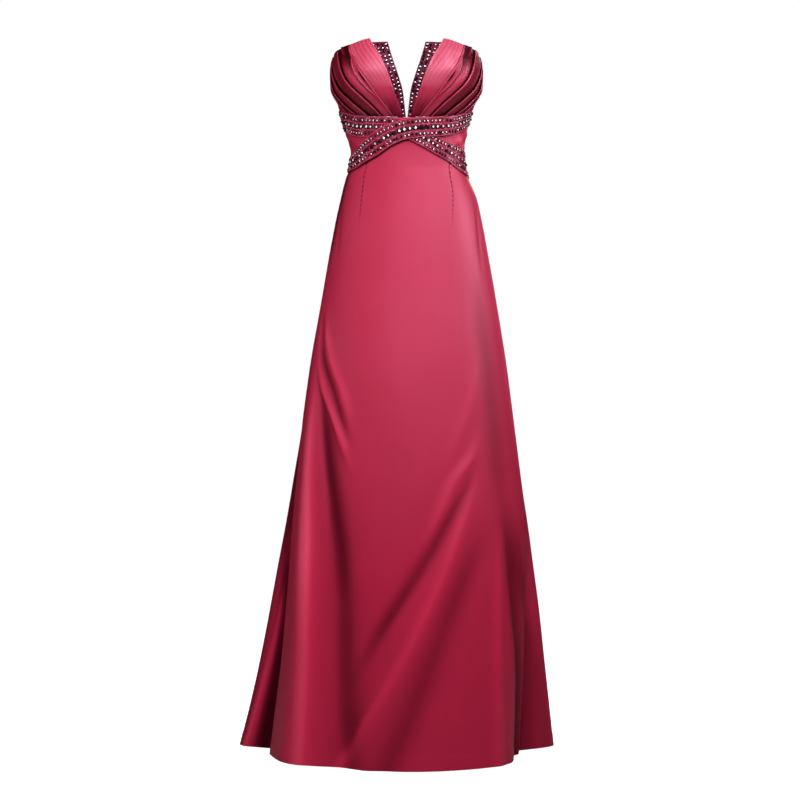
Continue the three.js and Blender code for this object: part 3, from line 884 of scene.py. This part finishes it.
def cup_columns():
    """Stations of the cup's cloth from the flap at the neckline to the side seam. Each is its pleat
    line, its share of the leaf, its shift, its height where the leaf is closed and open, and its painted
    light and shade."""
    columns = []
    for share in spread(0, 1, 34, (0, 0.03, 4)):
        height = 1.6 * math.sin(math.pi * share**0.8) + 0.8 * math.exp(-(((share - 0.02) / 0.018) ** 2))
        # painted highlight along the flap's neckline edge, painted shade where it runs under the first pleat
        painted_light = 0.35 * float(bell(share, 0.03)) - 0.7 * float(smoothstep(share, 0.93, 1))
        columns.append((0, share, 0.0, 0.0, height, height, painted_light))
    for pleat, (falls_from, own_painted_light) in enumerate(zip(PLEAT_FALLS_FROM, PLEAT_PAINTED_LIGHT), 1):
        for shift, height in zip(*finer(NOSE, 2).values()):
            # painted shade under each pleat's nose, painted highlight along its edge
            painted_light = np.interp(height, (2.0, 3.2, 4.0), (-1, -0.5, 0.55))
            columns.append((pleat, 0.0, 0.0, shift, height, height, painted_light))
        if pleat == 1:
            for across, shift, height in zip(*finer(LEAF, 2).values()):
                # painted shade in the slit beside the flap, painted highlight on the leaf's nose
                painted_light = -0.9 if across < 0.1 else np.interp(height, (2.2, 3.4, 4.5), (-0.05, 0.0, 0.6))
                columns.append((pleat, 0.0, across, shift, PLEAT_TOP, height, painted_light))
        for share in np.linspace(0.06, 1, 15):
            height = PLEAT_TOP + (PLEAT_FLOOR - PLEAT_TOP) * smoothstep(share, falls_from, 0.97)
            risen = smoothstep(share, 0.1, 0.5) if pleat == 1 else 1
            # painted shade as the pleat falls to the next fold, and near the neckline side of the first
            # pleat
            painted_light = own_painted_light - 0.8 * smoothstep(share, 0.7, 1) - 0.5 * (pleat == 1) * bell(share, 0.25)
            columns.append((pleat, share, float(pleat == 1), 0.0, height, height * risen, painted_light))
    return np.array(columns)


def cup_creases(angle, z):
    height = np.zeros(angle.shape)
    for _, tall, width, path in CUP_CREASES:
        heights, angles = zip(*path)
        t = np.clip((heights[0] - z) / (heights[0] - heights[-1]), 0, 1)
        fade = smoothstep(t, 0, 0.15) * (1 - smoothstep(t, 0.6, 1))
        height += tall * fade * bell(angle - curve(heights, angles)(z), width)
    return height


def cup_crinkles(line, up):
    """Creases that run along the pleats and pull in at the foot."""
    along = np.sin(7.3 * line + 2.1 * np.sin(3 * up)) * np.sin(11 * up + 5 * line)
    foot = np.sin(31 * line) * bell(up, 0.12)
    return 0.2 * along + 0.2 * foot


def add_cup(name, side):
    pleat, share, across, shift, closed, opened, painted_light = (column[:, None] for column in cup_columns().T)
    up = np.linspace(1, 0, 88)
    line = (pleat + share)[:, 0]
    t = np.clip((up - LEAF_LOW) / (LEAF_HIGH - LEAF_LOW), 0, 1)
    leaf = np.sin(np.pi * t) ** 0.8
    angle = line_angle(line, up) + (LEAF_CLOSED + LEAF_WIDTH * leaf) * across * (1 - share)
    width = line_angle(pleat[:, 0] + 1, up) - line_angle(pleat[:, 0], up)
    ends = 0.5 + 0.5 * np.sin(np.pi * np.clip(up, 0.04, 0.96)) ** 0.5
    ends = ends * (1 - 0.55 * smoothstep(up, 0.92, 1))
    narrow = np.where(pleat > 0, np.clip(width * degree(100.0) / PLEAT_FULL_WIDTH, 0.2, 1) * ends, 1)
    head = line_angle(line, np.array([1.0]))
    foot = line_angle(line, np.array([0.0]))
    z = underbust_z(foot) + (top_edge_z(head) - underbust_z(foot)) * up
    relief = (closed + (opened - closed) * leaf) * narrow
    creased = cup_creases(angle, z)
    relief = relief + cup_crinkles(line[:, None], up) + creased
    relief = np.maximum(relief, 0.6 - CUP_WALL)
    moved = shift * np.where((across > 0) & (share == 0), leaf, 1) * narrow
    limit = SIDE_SEAM - gap_angle(z)
    place = np.clip(angle + moved / degree(z), 0, limit)
    outer = lifted(side * place, z, relief)
    inner = lifted(side * np.minimum(angle, limit), z, np.full(z.shape, -CUP_WALL))
    for points in (outer, inner):
        points[..., 2] = np.maximum(points[..., 2], underbust_z(place))
    # Painted reflections in fine streaks on the flap, and the flap painted paler towards its top as painted
    # highlight
    painted_streaks = 0.1 * np.sin(38 * share + 4 * np.sin(5 * up)) * smoothstep(up, 0.3, 0.6)
    flap = -0.4 + 1.05 * smoothstep(up, 0.06, 0.45) + painted_streaks
    # painted shade over the top of the first pleat
    shaded = -FIRST_PLEAT_SHADE * smoothstep(up, 0.5, 0.9)
    painted_light = painted_light + np.where(pleat == 0, flap, 0) + np.where((pleat == 1) & (share > 0), shaded, 0)
    # painted light and shade along the cup creases, and painted shade at the foot of the cup
    painted_light = painted_light + creased / 3 - 0.35 * bell(up, 0.06)
    painted_light = np.clip(painted_light, -1, 1)
    if side < 0:
        outer, inner, painted_light = outer[::-1], inner[::-1], painted_light[::-1]
    add_shell(name, outer, inner, pleat_satin, "pleated_satin", painted_light)


# Neck bands


def neck_place(side, z, across):
    """A place on a neck band: across runs from its edge along the V to the edge under the cup."""
    return side * (neck_band["inner"](z) + (neck_band["outer"](z) - neck_band["inner"](z)) * across)


NECK_LIFT = -CUP_WALL - BEHIND_GAP


def add_neck_band(name, side):
    z = np.linspace(NECK_BAND["z"][-1], NECK_BAND["z"][0], 90)[None, :]
    across = np.linspace(0, 1, 24)[::side, None]
    angle = neck_place(side, z, across)
    rolled = -0.8 * (1 - np.clip(across / 0.08, 0, 1)) ** 2
    gathers = 0.22 * np.sin(z / 1.9 + 2 * np.sin(across * 9)) * np.sin(np.pi * across)
    under = NECK_LIFT - NECK_WALL + 0 * across
    add_cloth(name, angle, z, NECK_LIFT + rolled + gathers, under, neck_satin, "beaded_satin")


# Sashes: a thin piping runs along both edges and between the three rows of stones
SASH_WALL = 1.1
PIPING = [0.03, 0.335, 0.665, 0.97]
PIPING_RADIUS = 0.65


def sash_lift(angle, is_upper):
    """Height of a sash's outer face over the midriff."""
    over = 1 - smoothstep(np.abs(angle), SASH_CROSSING, SASH_CROSSING + SASH_LANDING)
    return SEAM_GAP + (SASH_RISE * over if is_upper else 0 * over)


def sash_z(edges, angle, v):
    return edges["top"](angle) + (edges["bottom"](angle) - edges["top"](angle)) * v


def add_sash(name, edges, is_upper):
    reach = SIDE_SEAM - gap_angle(0)
    angle = spread(-reach, reach, 200)[:, None]
    v = np.linspace(0, 1, 31)[None, :]
    between = np.abs(np.sin(np.pi * 3 * v))
    ruche = 0.25 * np.sin(angle * 3.1 + 5 * np.sin(v * 8)) * between
    under = sash_lift(angle, is_upper)
    z = sash_z(edges, angle, v)
    lift = under + SASH_WALL + 0.5 * between + ruche
    add_cloth(name, angle, z, lift, under + 0 * v, sash_satin, "beaded_satin")


SIDES = 8
RING = np.arange(SIDES) * 2 * np.pi / SIDES


def ring_faces(start, end, sides):
    """Quads between two rings of points, each given by the number of its first point."""
    pairs = [(i, (i + 1) % sides) for i in range(sides)]
    return [[end + i, end + j, start + j, start + i] for i, j in pairs]


def tube(place, t, lift, radius):
    """Points and faces of a round cord along place(t), a little twisted as a corded edge is."""
    here, normal, travel = frames(place, t, lift)
    travel /= np.linalg.norm(travel, axis=-1, keepdims=True)
    side = np.cross(normal, travel)
    twist = 1 + 0.1 * np.sin(2 * RING[None, :] + np.arange(len(t))[:, None] * 1.3)
    ring = radius * twist
    points = (
        here[:, None, :]
        + side[:, None, :] * (ring * np.cos(RING))[..., None]
        + normal[:, None, :] * (ring * np.sin(RING))[..., None]
    )
    faces = []
    for k in range(len(t) - 1):
        faces += ring_faces(k * SIDES, (k + 1) * SIDES, SIDES)
    last = (len(t) - 1) * SIDES
    faces += [list(range(SIDES)), [last + i for i in range(SIDES)][::-1]]
    return points.reshape(-1, 3), faces


def add_piping(name, edges, is_upper):
    reach = SIDE_SEAM - 1
    points, faces = [], []
    for v in PIPING:
        place = lambda t, v=v: (t, sash_z(edges, t, v))
        t = np.linspace(-reach, reach, 170)
        cord, cord_faces = tube(place, t, sash_lift(t, is_upper) + 1.3, PIPING_RADIUS)
        base = sum(len(each) for each in points)
        points.append(cord)
        faces += [[corner + base for corner in face] for face in cord_faces]
    make_mesh(name + "_piping", np.concatenate(points), faces, piping_satin, slot="satin", sharp=80)


# Stones and beads
GIRDLE_HEIGHT, TABLE_RADIUS = 0.35, 0.24
SETTING_LEVELS = [(0.5, 0.0), (0.68, 0.0), (0.62, 0.5), (0.47, 0.55)]
SETTING_HEIGHT = 0.7


def stone_shape():
    """A faceted stone one unit across and one high: a girdle, a crown of facets and a table. The last
    list says which facets are painted near-black as dark reflections, and the rest show its own tint."""
    turned = RING + np.pi / SIDES
    base = np.stack([np.cos(RING) / 2, np.sin(RING) / 2, 0 * RING], -1)
    girdle = base + (0, 0, GIRDLE_HEIGHT)
    crown = np.stack([np.cos(turned) * TABLE_RADIUS, np.sin(turned) * TABLE_RADIUS, 0 * RING + 1], -1)
    faces = [list(range(SIDES))[::-1], [2 * SIDES + i for i in range(SIDES)]]
    dark = [True, False]
    for i in range(SIDES):
        j = (i + 1) % SIDES
        faces.append([i, j, SIDES + j, SIDES + i])
        faces.append([SIDES + i, SIDES + j, 2 * SIDES + i])
        faces.append([SIDES + j, 2 * SIDES + j, 2 * SIDES + i])
        # the girdle side and most crown facets take the painted dark reflection
        dark += [True, True, i % 4 != 1]
    return np.concatenate([base, girdle, crown]), faces, dark


def cup_shape():
    """The setting round a stone: a low eight-sided collar, as rings of a radius and a height."""
    points = [np.stack([np.cos(RING) * r, np.sin(RING) * r, 0 * RING + h], -1) for r, h in SETTING_LEVELS]
    faces = []
    for k in range(len(points)):
        faces += ring_faces((k + 1) % len(points) * SIDES, k * SIDES, SIDES)
    return np.concatenate(points), faces, [False] * len(faces)


def bead_shape():
    """A small round bead, an icosahedron that is shaded smooth."""
    golden = (1 + 5**0.5) / 2
    points = []
    for a in (-1, 1):
        for b in (-golden, golden):
            points += [(a, b, 0), (0, a, b), (b, 0, a)]
    points = np.array(points) / np.linalg.norm([1, golden]) / 2
    faces = []
    for i in range(12):
        for j in range(i + 1, 12):
            for k in range(j + 1, 12):
                p, q, r = points[i], points[j], points[k]
                if max(np.linalg.norm(p - q), np.linalg.norm(q - r), np.linalg.norm(r - p)) < 0.56:
                    out = np.dot(np.cross(q - p, r - p), p) > 0
                    faces.append([i, j, k] if out else [i, k, j])
    return points + (0, 0, 0.5), faces, [False] * len(faces)


def set_along(shape, places, normals, directions, sizes):
    """Copies of a shape joined in one mesh: sizes are (length, width, height) in millimetres."""
    points, faces, _ = shape
    directions = directions - normals * (directions * normals).sum(-1, keepdims=True)
    directions /= np.linalg.norm(directions, axis=-1, keepdims=True)
    sideways = np.cross(normals, directions)
    length, width, height = (np.asarray(s, float)[:, None, None] for s in sizes)
    made = (
        places[:, None, :]
        + points[None, :, :1] * length * directions[:, None, :]
        + points[None, :, 1:2] * width * sideways[:, None, :]
        + points[None, :, 2:] * height * normals[:, None, :]
    )
    count = len(points)
    joined = [[corner + count * i for corner in face] for i in range(len(places)) for face in faces]
    return made.reshape(-1, 3), joined


def add_set(name, kind, places, normals, directions, sizes, material, slot, seed, smooth=False):
    """One mesh of many small stones, each with a tint of its own."""
    shape = {"stone": stone_shape, "setting": cup_shape, "bead": bead_shape}[kind]()
    points, faces = set_along(shape, places, normals, directions, sizes)
    piece = make_mesh(name, points, faces, material, slot=slot, smooth=smooth, sharp=80)
    own = np.random.default_rng(seed).random(len(places))[:, None]
    # facets listed dark take the painted dark-reflection tint, the rest the stone's own
    tints = np.where(np.array(shape[2])[None, :], DARK_REFLECTION_TINT, own).ravel()
    tell(piece, "tint", "FACE", tints)


def along_path(place, start, end, pitch, jitter=0.0, seed=0):
    """Parameters spaced by a pitch in millimetres along place(t), which gives (angle, z)."""
    t = np.linspace(start, end, 3000)
    points = gown_point(*place(t))
    length = np.concatenate([[0], np.cumsum(np.linalg.norm(np.diff(points, axis=0), axis=1))])
    count = max(int(length[-1] // pitch), 1)
    at = (np.arange(count) + 0.5) / count
    at = at + np.random.default_rng(seed).uniform(-jitter, jitter, count) / count
    return np.interp(at * length[-1], length, t)


def frames(place, t, lift, step=0.4):
    """Place, normal and direction of travel at parameters t."""
    angle, z = place(t)
    ahead, behind = place(t + step), place(t - step)
    here = lifted(angle, z, lift)
    return here, outward(angle, z), gown_point(*ahead) - gown_point(*behind)


def stone_row(place, start, end, pitch, lift, size, seed, grow=None):
    """Places, frames and sizes of one row of stones."""
    t = along_path(place, start, end, pitch, 0.12, seed)
    here, normal, direction = frames(place, t, lift(t))
    vary = np.random.default_rng(seed + 1).uniform(0.86, 1.14, len(t))
    scale = vary * (grow(t) if grow else 1)
    sizes = [np.full(len(t), s) * scale for s in size]
    return here, normal, direction, sizes


def join_rows(rows):
    here, normal, direction = (np.concatenate([row[i] for row in rows]) for i in range(3))
    sizes = [np.concatenate([row[3][k] for row in rows]) for k in range(3)]
    return here, normal, direction, sizes


def add_stones(name, rows, seed):
    """Stones of a band with the settings round them."""
    here, normal, direction, sizes = join_rows(rows)
    add_set(name + "_stones", "stone", here, normal, direction, sizes, crystal, "crystal", seed)
    low = [sizes[0], sizes[1], sizes[2] * SETTING_HEIGHT]
    add_set(name + "_settings", "setting", here, normal, direction, low, setting_metal, "beaded_satin", seed)


def add_beads(name, rows, seed):
    add_set(name + "_beads", "bead", *join_rows(rows), seed_glass, "crystal", seed, smooth=True)


SASH_ROWS = table(
    "v pitch length width height",
    (0.185, 7.6, 5.2, 5, 2.4),
    (0.5, 10.6, 8.4, 6.6, 3.2),
    (0.815, 7.4, 5.3, 5, 2.4),
)
BEAD_ROWS = [0.085, 0.285, 0.385, 0.615, 0.715, 0.915]
SASH_SEEDS = {"sash_lower": 100, "sash_upper": 200}
SASH_BEAD, SASH_BEAD_PITCH = (1.9, 1.9, 1.7), 3.1
NECK_BEAD, NECK_BEAD_PITCH = (1.8, 1.8, 1.6), 3.0


def add_sash_stones(name, edges, is_upper, seed):
    reach = SIDE_SEAM - 1.5
    face = lambda t: sash_lift(t, is_upper) + 0.85
    swell = lambda t: 1 + 0.32 * bell(t - 2, 17) * is_upper
    rows = []
    for k, (v, pitch, length, width, height) in enumerate(zip(*SASH_ROWS.values())):
        place = lambda t, v=v: (t, sash_z(edges, t, v))
        grow = swell if k == 1 else None
        size = (length, width, height)
        rows.append(stone_row(place, -reach, reach, pitch, face, size, seed + k, grow))
    beads = []
    for k, v in enumerate(BEAD_ROWS):
        place = lambda t, v=v: (t, sash_z(edges, t, v))
        beads.append(stone_row(place, -reach, reach, SASH_BEAD_PITCH, face, SASH_BEAD, seed + 20 + k))
    add_stones(name, rows, seed)
    add_beads(name, beads, seed + 40)


NECK_ROWS = table(
    "from_edge bottom pitch size",
    (4, 24, 7.6, 5.4),
    (10.8, 56, 7.8, 5.6),
    (17.6, 118, 7.6, 5),
    (23.8, 146, 7.6, 4.6),
)


def add_neck_stones(name, side, seed):
    face = lambda t: np.full(t.shape, NECK_LIFT)
    top = NECK_BAND["z"][-1] - 3
    rows, beads = [], []
    for k, (away, bottom, pitch, size) in enumerate(zip(*NECK_ROWS.values())):
        place = lambda t, away=away: (side * (neck_band["inner"](t) + away / degree(t)), t)
        rows.append(stone_row(place, top, bottom, pitch, face, (size, size * 0.92, 2.1), seed + k))
        between = lambda t, away=away: (side * (neck_band["inner"](t) + (away - 3) / degree(t)), t)
        beads.append(stone_row(between, top, bottom + 4, NECK_BEAD_PITCH, face, NECK_BEAD, seed + 10 + k))
    add_stones(name, rows, seed)
    add_beads(name, beads, seed + 40)


# Stitching and the zip. Stitches have a pitch, a length and a thickness.
DART_STITCH, HEM_STITCH, FINE_STITCH = (3.2, 2.4, 0.42), (11, 1.4, 0.35), (3.0, 2.2, 0.4)


def stitch_shape():
    """One stitch: a short thread that dips into the cloth at both ends."""
    stations = [(-0.5, 0.05, -0.3), (-0.25, 0.5, 0.35), (0.25, 0.5, 0.35), (0.5, 0.05, -0.3)]
    points, faces = [], []
    for x, thick, rise in stations:
        points += [(x, -thick, rise), (x, 0, rise + thick), (x, thick, rise), (x, 0, rise - thick)]
    for k in range(len(stations) - 1):
        faces += ring_faces(4 * k, 4 * k + 4, 4)
    faces += [[0, 1, 2, 3][::-1], [12, 13, 14, 15]]
    return np.array(points), faces, [False] * len(faces)


def add_stitches(name, paths, pitch, length, thick):
    """Rows of stitches joined in one mesh. A path is (place, start, end, lift)."""
    rows = []
    for place, start, end, lift in paths:
        t = along_path(place, start, end, pitch)
        here, normal, direction = frames(place, t, lift(*place(t)))
        rows.append((here, normal, direction, [np.full(len(t), s) for s in (length, thick, thick)]))
    here, normal, direction, sizes = join_rows(rows)
    points, faces = set_along(stitch_shape(), here, normal, direction, sizes)
    make_mesh(name, points, faces, thread, slot="satin", sharp=80)


def dart_path(row):
    waist_at, tip_at, tip_z = (DARTS[key][row] for key in ("waist_angle", "tip_angle", "tip_z"))
    top_z = float(waist_z(np.array(waist_at))) - 2

    def place(t):
        return waist_at + (tip_at - waist_at) * t, top_z + (tip_z - top_z) * t

    return place


def add_seams():
    seams = [-SIDE_SEAM, SIDE_SEAM, CENTRE_BACK]
    front_lift = lambda a, z: skirt_relief(a, z, seams) + dart_height(a, z) + 0.1
    darts = [(dart_path(row), 0.0, 1.0, front_lift) for row in range(2)]
    add_stitches("dart_stitches", darts, *DART_STITCH)
    hem = lambda t: (t, np.full(np.shape(t), HEM_Z + HEM_TURN))
    hem_lift = lambda a, z: skirt_relief(a, z, seams)
    add_stitches("hem_stitches", [(hem, -179, 179, hem_lift)], *HEM_STITCH)
    back_top = lambda t: (t, top_edge_z(np.abs(t)) - 6)
    topstitch = lambda a, z: back_relief(a, z) + 0.1
    left = (back_top, SIDE_SEAM + 2, CENTRE_BACK - 2, topstitch)
    right = (back_top, -SIDE_SEAM - 2, -CENTRE_BACK + 2, topstitch)
    add_stitches("back_top_stitches", [left, right], *FINE_STITCH)

    def back_lift(angle, z):
        return np.where(z > waist_z(angle), back_relief(angle, z), skirt_relief(angle, z, seams)) + 0.1

    zip_lines = []
    for side in (-1, 1):
        line = lambda t, side=side: (side * (CENTRE_BACK - ZIP_STITCH / degree(t)), t)
        zip_lines.append((line, ZIP_TOP_Z, ZIP_END_Z, back_lift))
    add_stitches("zip_stitches", zip_lines, *FINE_STITCH)


# The zip has a tape inside the seam, a coil on it, and a slider and pull at its top.
COIL_PITCH = 1.5
COIL_LIFT = -2.2
COIL_SIZE = (4.2, 0.55, 0.7)
DIE_CAST_EDGE, BEVEL_RADIUS = math.radians(40), 0.00028


def add_zip():
    z = np.linspace(ZIP_TOP_Z, ZIP_END_Z, 120)[None, :]
    angle = CENTRE_BACK + np.linspace(-ZIP_TAPE_ANGLE, ZIP_TAPE_ANGLE, 17)[:, None]
    wave = 0.12 * np.sin(z / 4 + angle)
    add_cloth("zip_tape", angle, z, TAPE_LIFT + wave, TAPE_LIFT - TAPE_WALL + wave, tape_cloth, "zip_tape")
    centre = lambda t: (np.full(np.shape(t), float(CENTRE_BACK)), t)
    t = along_path(centre, ZIP_TOP_Z - 2, ZIP_END_Z + 4, COIL_PITCH)
    here, normal, travel = frames(centre, t, np.full(t.shape, COIL_LIFT))
    across = np.cross(normal, travel)
    sizes = [np.full(len(t), s) for s in COIL_SIZE]
    points, faces = set_along(stitch_shape(), here, normal, across, sizes)
    make_mesh("zip_coil", points, faces, tape_cloth, slot="zip_tape", sharp=80)
    rounded_copy("zip_slider", "root")
    rounded_copy("zip_pull", "pull")


def rounded_copy(name, body):
    """A hard piece with its edges rounded off as a die-cast one has them."""
    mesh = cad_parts[name].data.copy()
    form = bmesh.new()
    form.from_mesh(mesh)
    bmesh.ops.remove_doubles(form, verts=form.verts, dist=0.00001)
    bmesh.ops.dissolve_limit(form, angle_limit=0.02, verts=form.verts, edges=form.edges)
    edges = [edge for edge in form.edges if edge.calc_face_angle(0) > DIE_CAST_EDGE]
    bmesh.ops.bevel(form, geom=edges, offset=BEVEL_RADIUS, segments=3, profile=0.5, affect="EDGES")
    form.to_mesh(mesh)
    form.free()
    mesh.materials.clear()
    mesh.materials.append(zip_enamel)
    mesh.shade_smooth()
    mesh.set_sharp_from_angle(angle=DIE_CAST_EDGE)
    piece = add_object(name + "_enamel", mesh)
    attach(piece, body)
    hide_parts(name)


# Scene
CAMERA_PLACE, CAMERA_LENS, FILM_WIDTH = (-0.013, -3.8, -0.53), 85.5, 36
FLOOR_REACH, FLOOR_DROP = 8000, 3
ROOM_LIGHT = 0.015
# Soft lamps: name, place, target, size, power, spread in degrees and whether they show in the gloss
LAMPS = [
    ("front_mid", (-0.35, -2.8, 0.5), (0, 0, -0.3), (2.2, 0.9), 4.8, 100, True),
    ("front_high", (0, -2.2, 1.2), (0, 0, -0.2), (1.4, 0.8), 11.5, 80, False),
    ("right_high", (1.3, -1.9, 1.1), (0, 0, -0.2), (1.2, 1.1), 4.5, 90, True),
    ("right_near", (1, -1.5, 1.4), (0, 0, -0.15), (1, 0.9), 3, 75, False),
    ("right_side", (1.8, -0.3, 0.5), (0, 0, -0.2), (0.5, 0.8), 3, 80, True),
    ("left_box", (-1.7, -1.1, 0.3), (0, 0, -0.3), (0.6, 0.9), 2.2, 80, False),
    ("left_side", (-1.8, -0.4, 0.2), (0, 0, -0.4), (0.5, 0.9), 1, 80, False),
    ("behind", (0.4, 2.3, 1), (0, 0, -0.4), (1.6, 1.2), 16, 110, True),
]


def aim(thing, target):
    direction = np.array(target) - np.array(thing.location)
    x, y, z = direction / np.linalg.norm(direction)
    thing.rotation_euler = (math.acos(-z), 0, math.atan2(y, x) - math.pi / 2)


def add_light(name, place, target, size, power, spread_angle, glossy):
    data = bpy.data.lights.new(name, "AREA")
    data.spread = math.radians(spread_angle)
    data.shape = "RECTANGLE"
    data.size, data.size_y = size
    data.energy = power
    light = add_object(name, data)
    light.location = place
    light.visible_glossy = glossy
    aim(light, target)


def add_floor():
    """A pale floor that reads as white where the camera sees it."""
    half, z = FLOOR_REACH, HEM_Z - FLOOR_DROP
    corners = [(-half, -half, z), (half, -half, z), (half, half, z), (-half, half, z)]
    material, tree, shader = new_material("pale_floor")
    cloud = ramp(tree, noise(tree, (1, 1, 1)), (0.3, (0.46, 0.46, 0.46)), (0.7, (0.5, 0.5, 0.5)))
    tree.links.new(cloud, shader.inputs["Base Color"])
    shader.inputs["Roughness"].default_value = 0.8
    shader.inputs["Emission Color"].default_value = (1, 1, 1, 1)
    path = node(tree, "ShaderNodeLightPath")
    tree.links.new(path.outputs["Is Camera Ray"], shader.inputs["Emission Strength"])
    mesh = bpy.data.meshes.new("floor")
    mesh.from_pydata((np.array(corners) * MM).tolist(), [], [[0, 1, 2, 3]])
    mesh.materials.append(material)
    floor = add_object("floor", mesh)


def add_world():
    """The camera sees white, and the soft room light on the gown is weaker than that."""
    world = bpy.data.worlds.new("studio")
    world.use_nodes = True
    bpy.context.scene.world = world
    tree = world.node_tree
    background = tree.nodes["Background"]
    seen = node(tree, "ShaderNodeBackground", Color=(1, 1, 1, 1), Strength=1.0)
    background.inputs["Color"].default_value = (1, 0.98, 0.98, 1)
    background.inputs["Strength"].default_value = ROOM_LIGHT
    path = node(tree, "ShaderNodeLightPath")
    mix = node(tree, "ShaderNodeMixShader")
    tree.links.new(path.outputs["Is Camera Ray"], mix.inputs[0])
    tree.links.new(background.outputs[0], mix.inputs[1])
    tree.links.new(seen.outputs[0], mix.inputs[2])
    tree.links.new(mix.outputs[0], tree.nodes["World Output"].inputs["Surface"])


def add_camera():
    data = bpy.data.cameras.new("camera")
    data.sensor_width = FILM_WIDTH
    data.lens = CAMERA_LENS
    camera = add_object("camera", data)
    camera.location = CAMERA_PLACE
    camera.rotation_euler = (math.radians(90), 0, 0)
    bpy.context.scene.camera = camera


add_camera()
add_world()
add_floor()
for lamp in LAMPS:
    add_light(*lamp)

add_skirt()
add_bodice()
for side, word in [(-1, "right"), (1, "left")]:
    add_cup("cup_" + word, side)
    add_neck_band("neck_band_" + word, side)
    add_neck_stones("neck_" + word, side, 500 + 100 * side)
for name, *sash in [("sash_lower", lower_sash, False), ("sash_upper", upper_sash, True)]:
    add_sash(name, *sash)
    add_piping(name, *sash)
    add_sash_stones(name, *sash, SASH_SEEDS[name])
add_seams()
add_zip()
bpy.context.scene.view_settings.view_transform = "Standard"
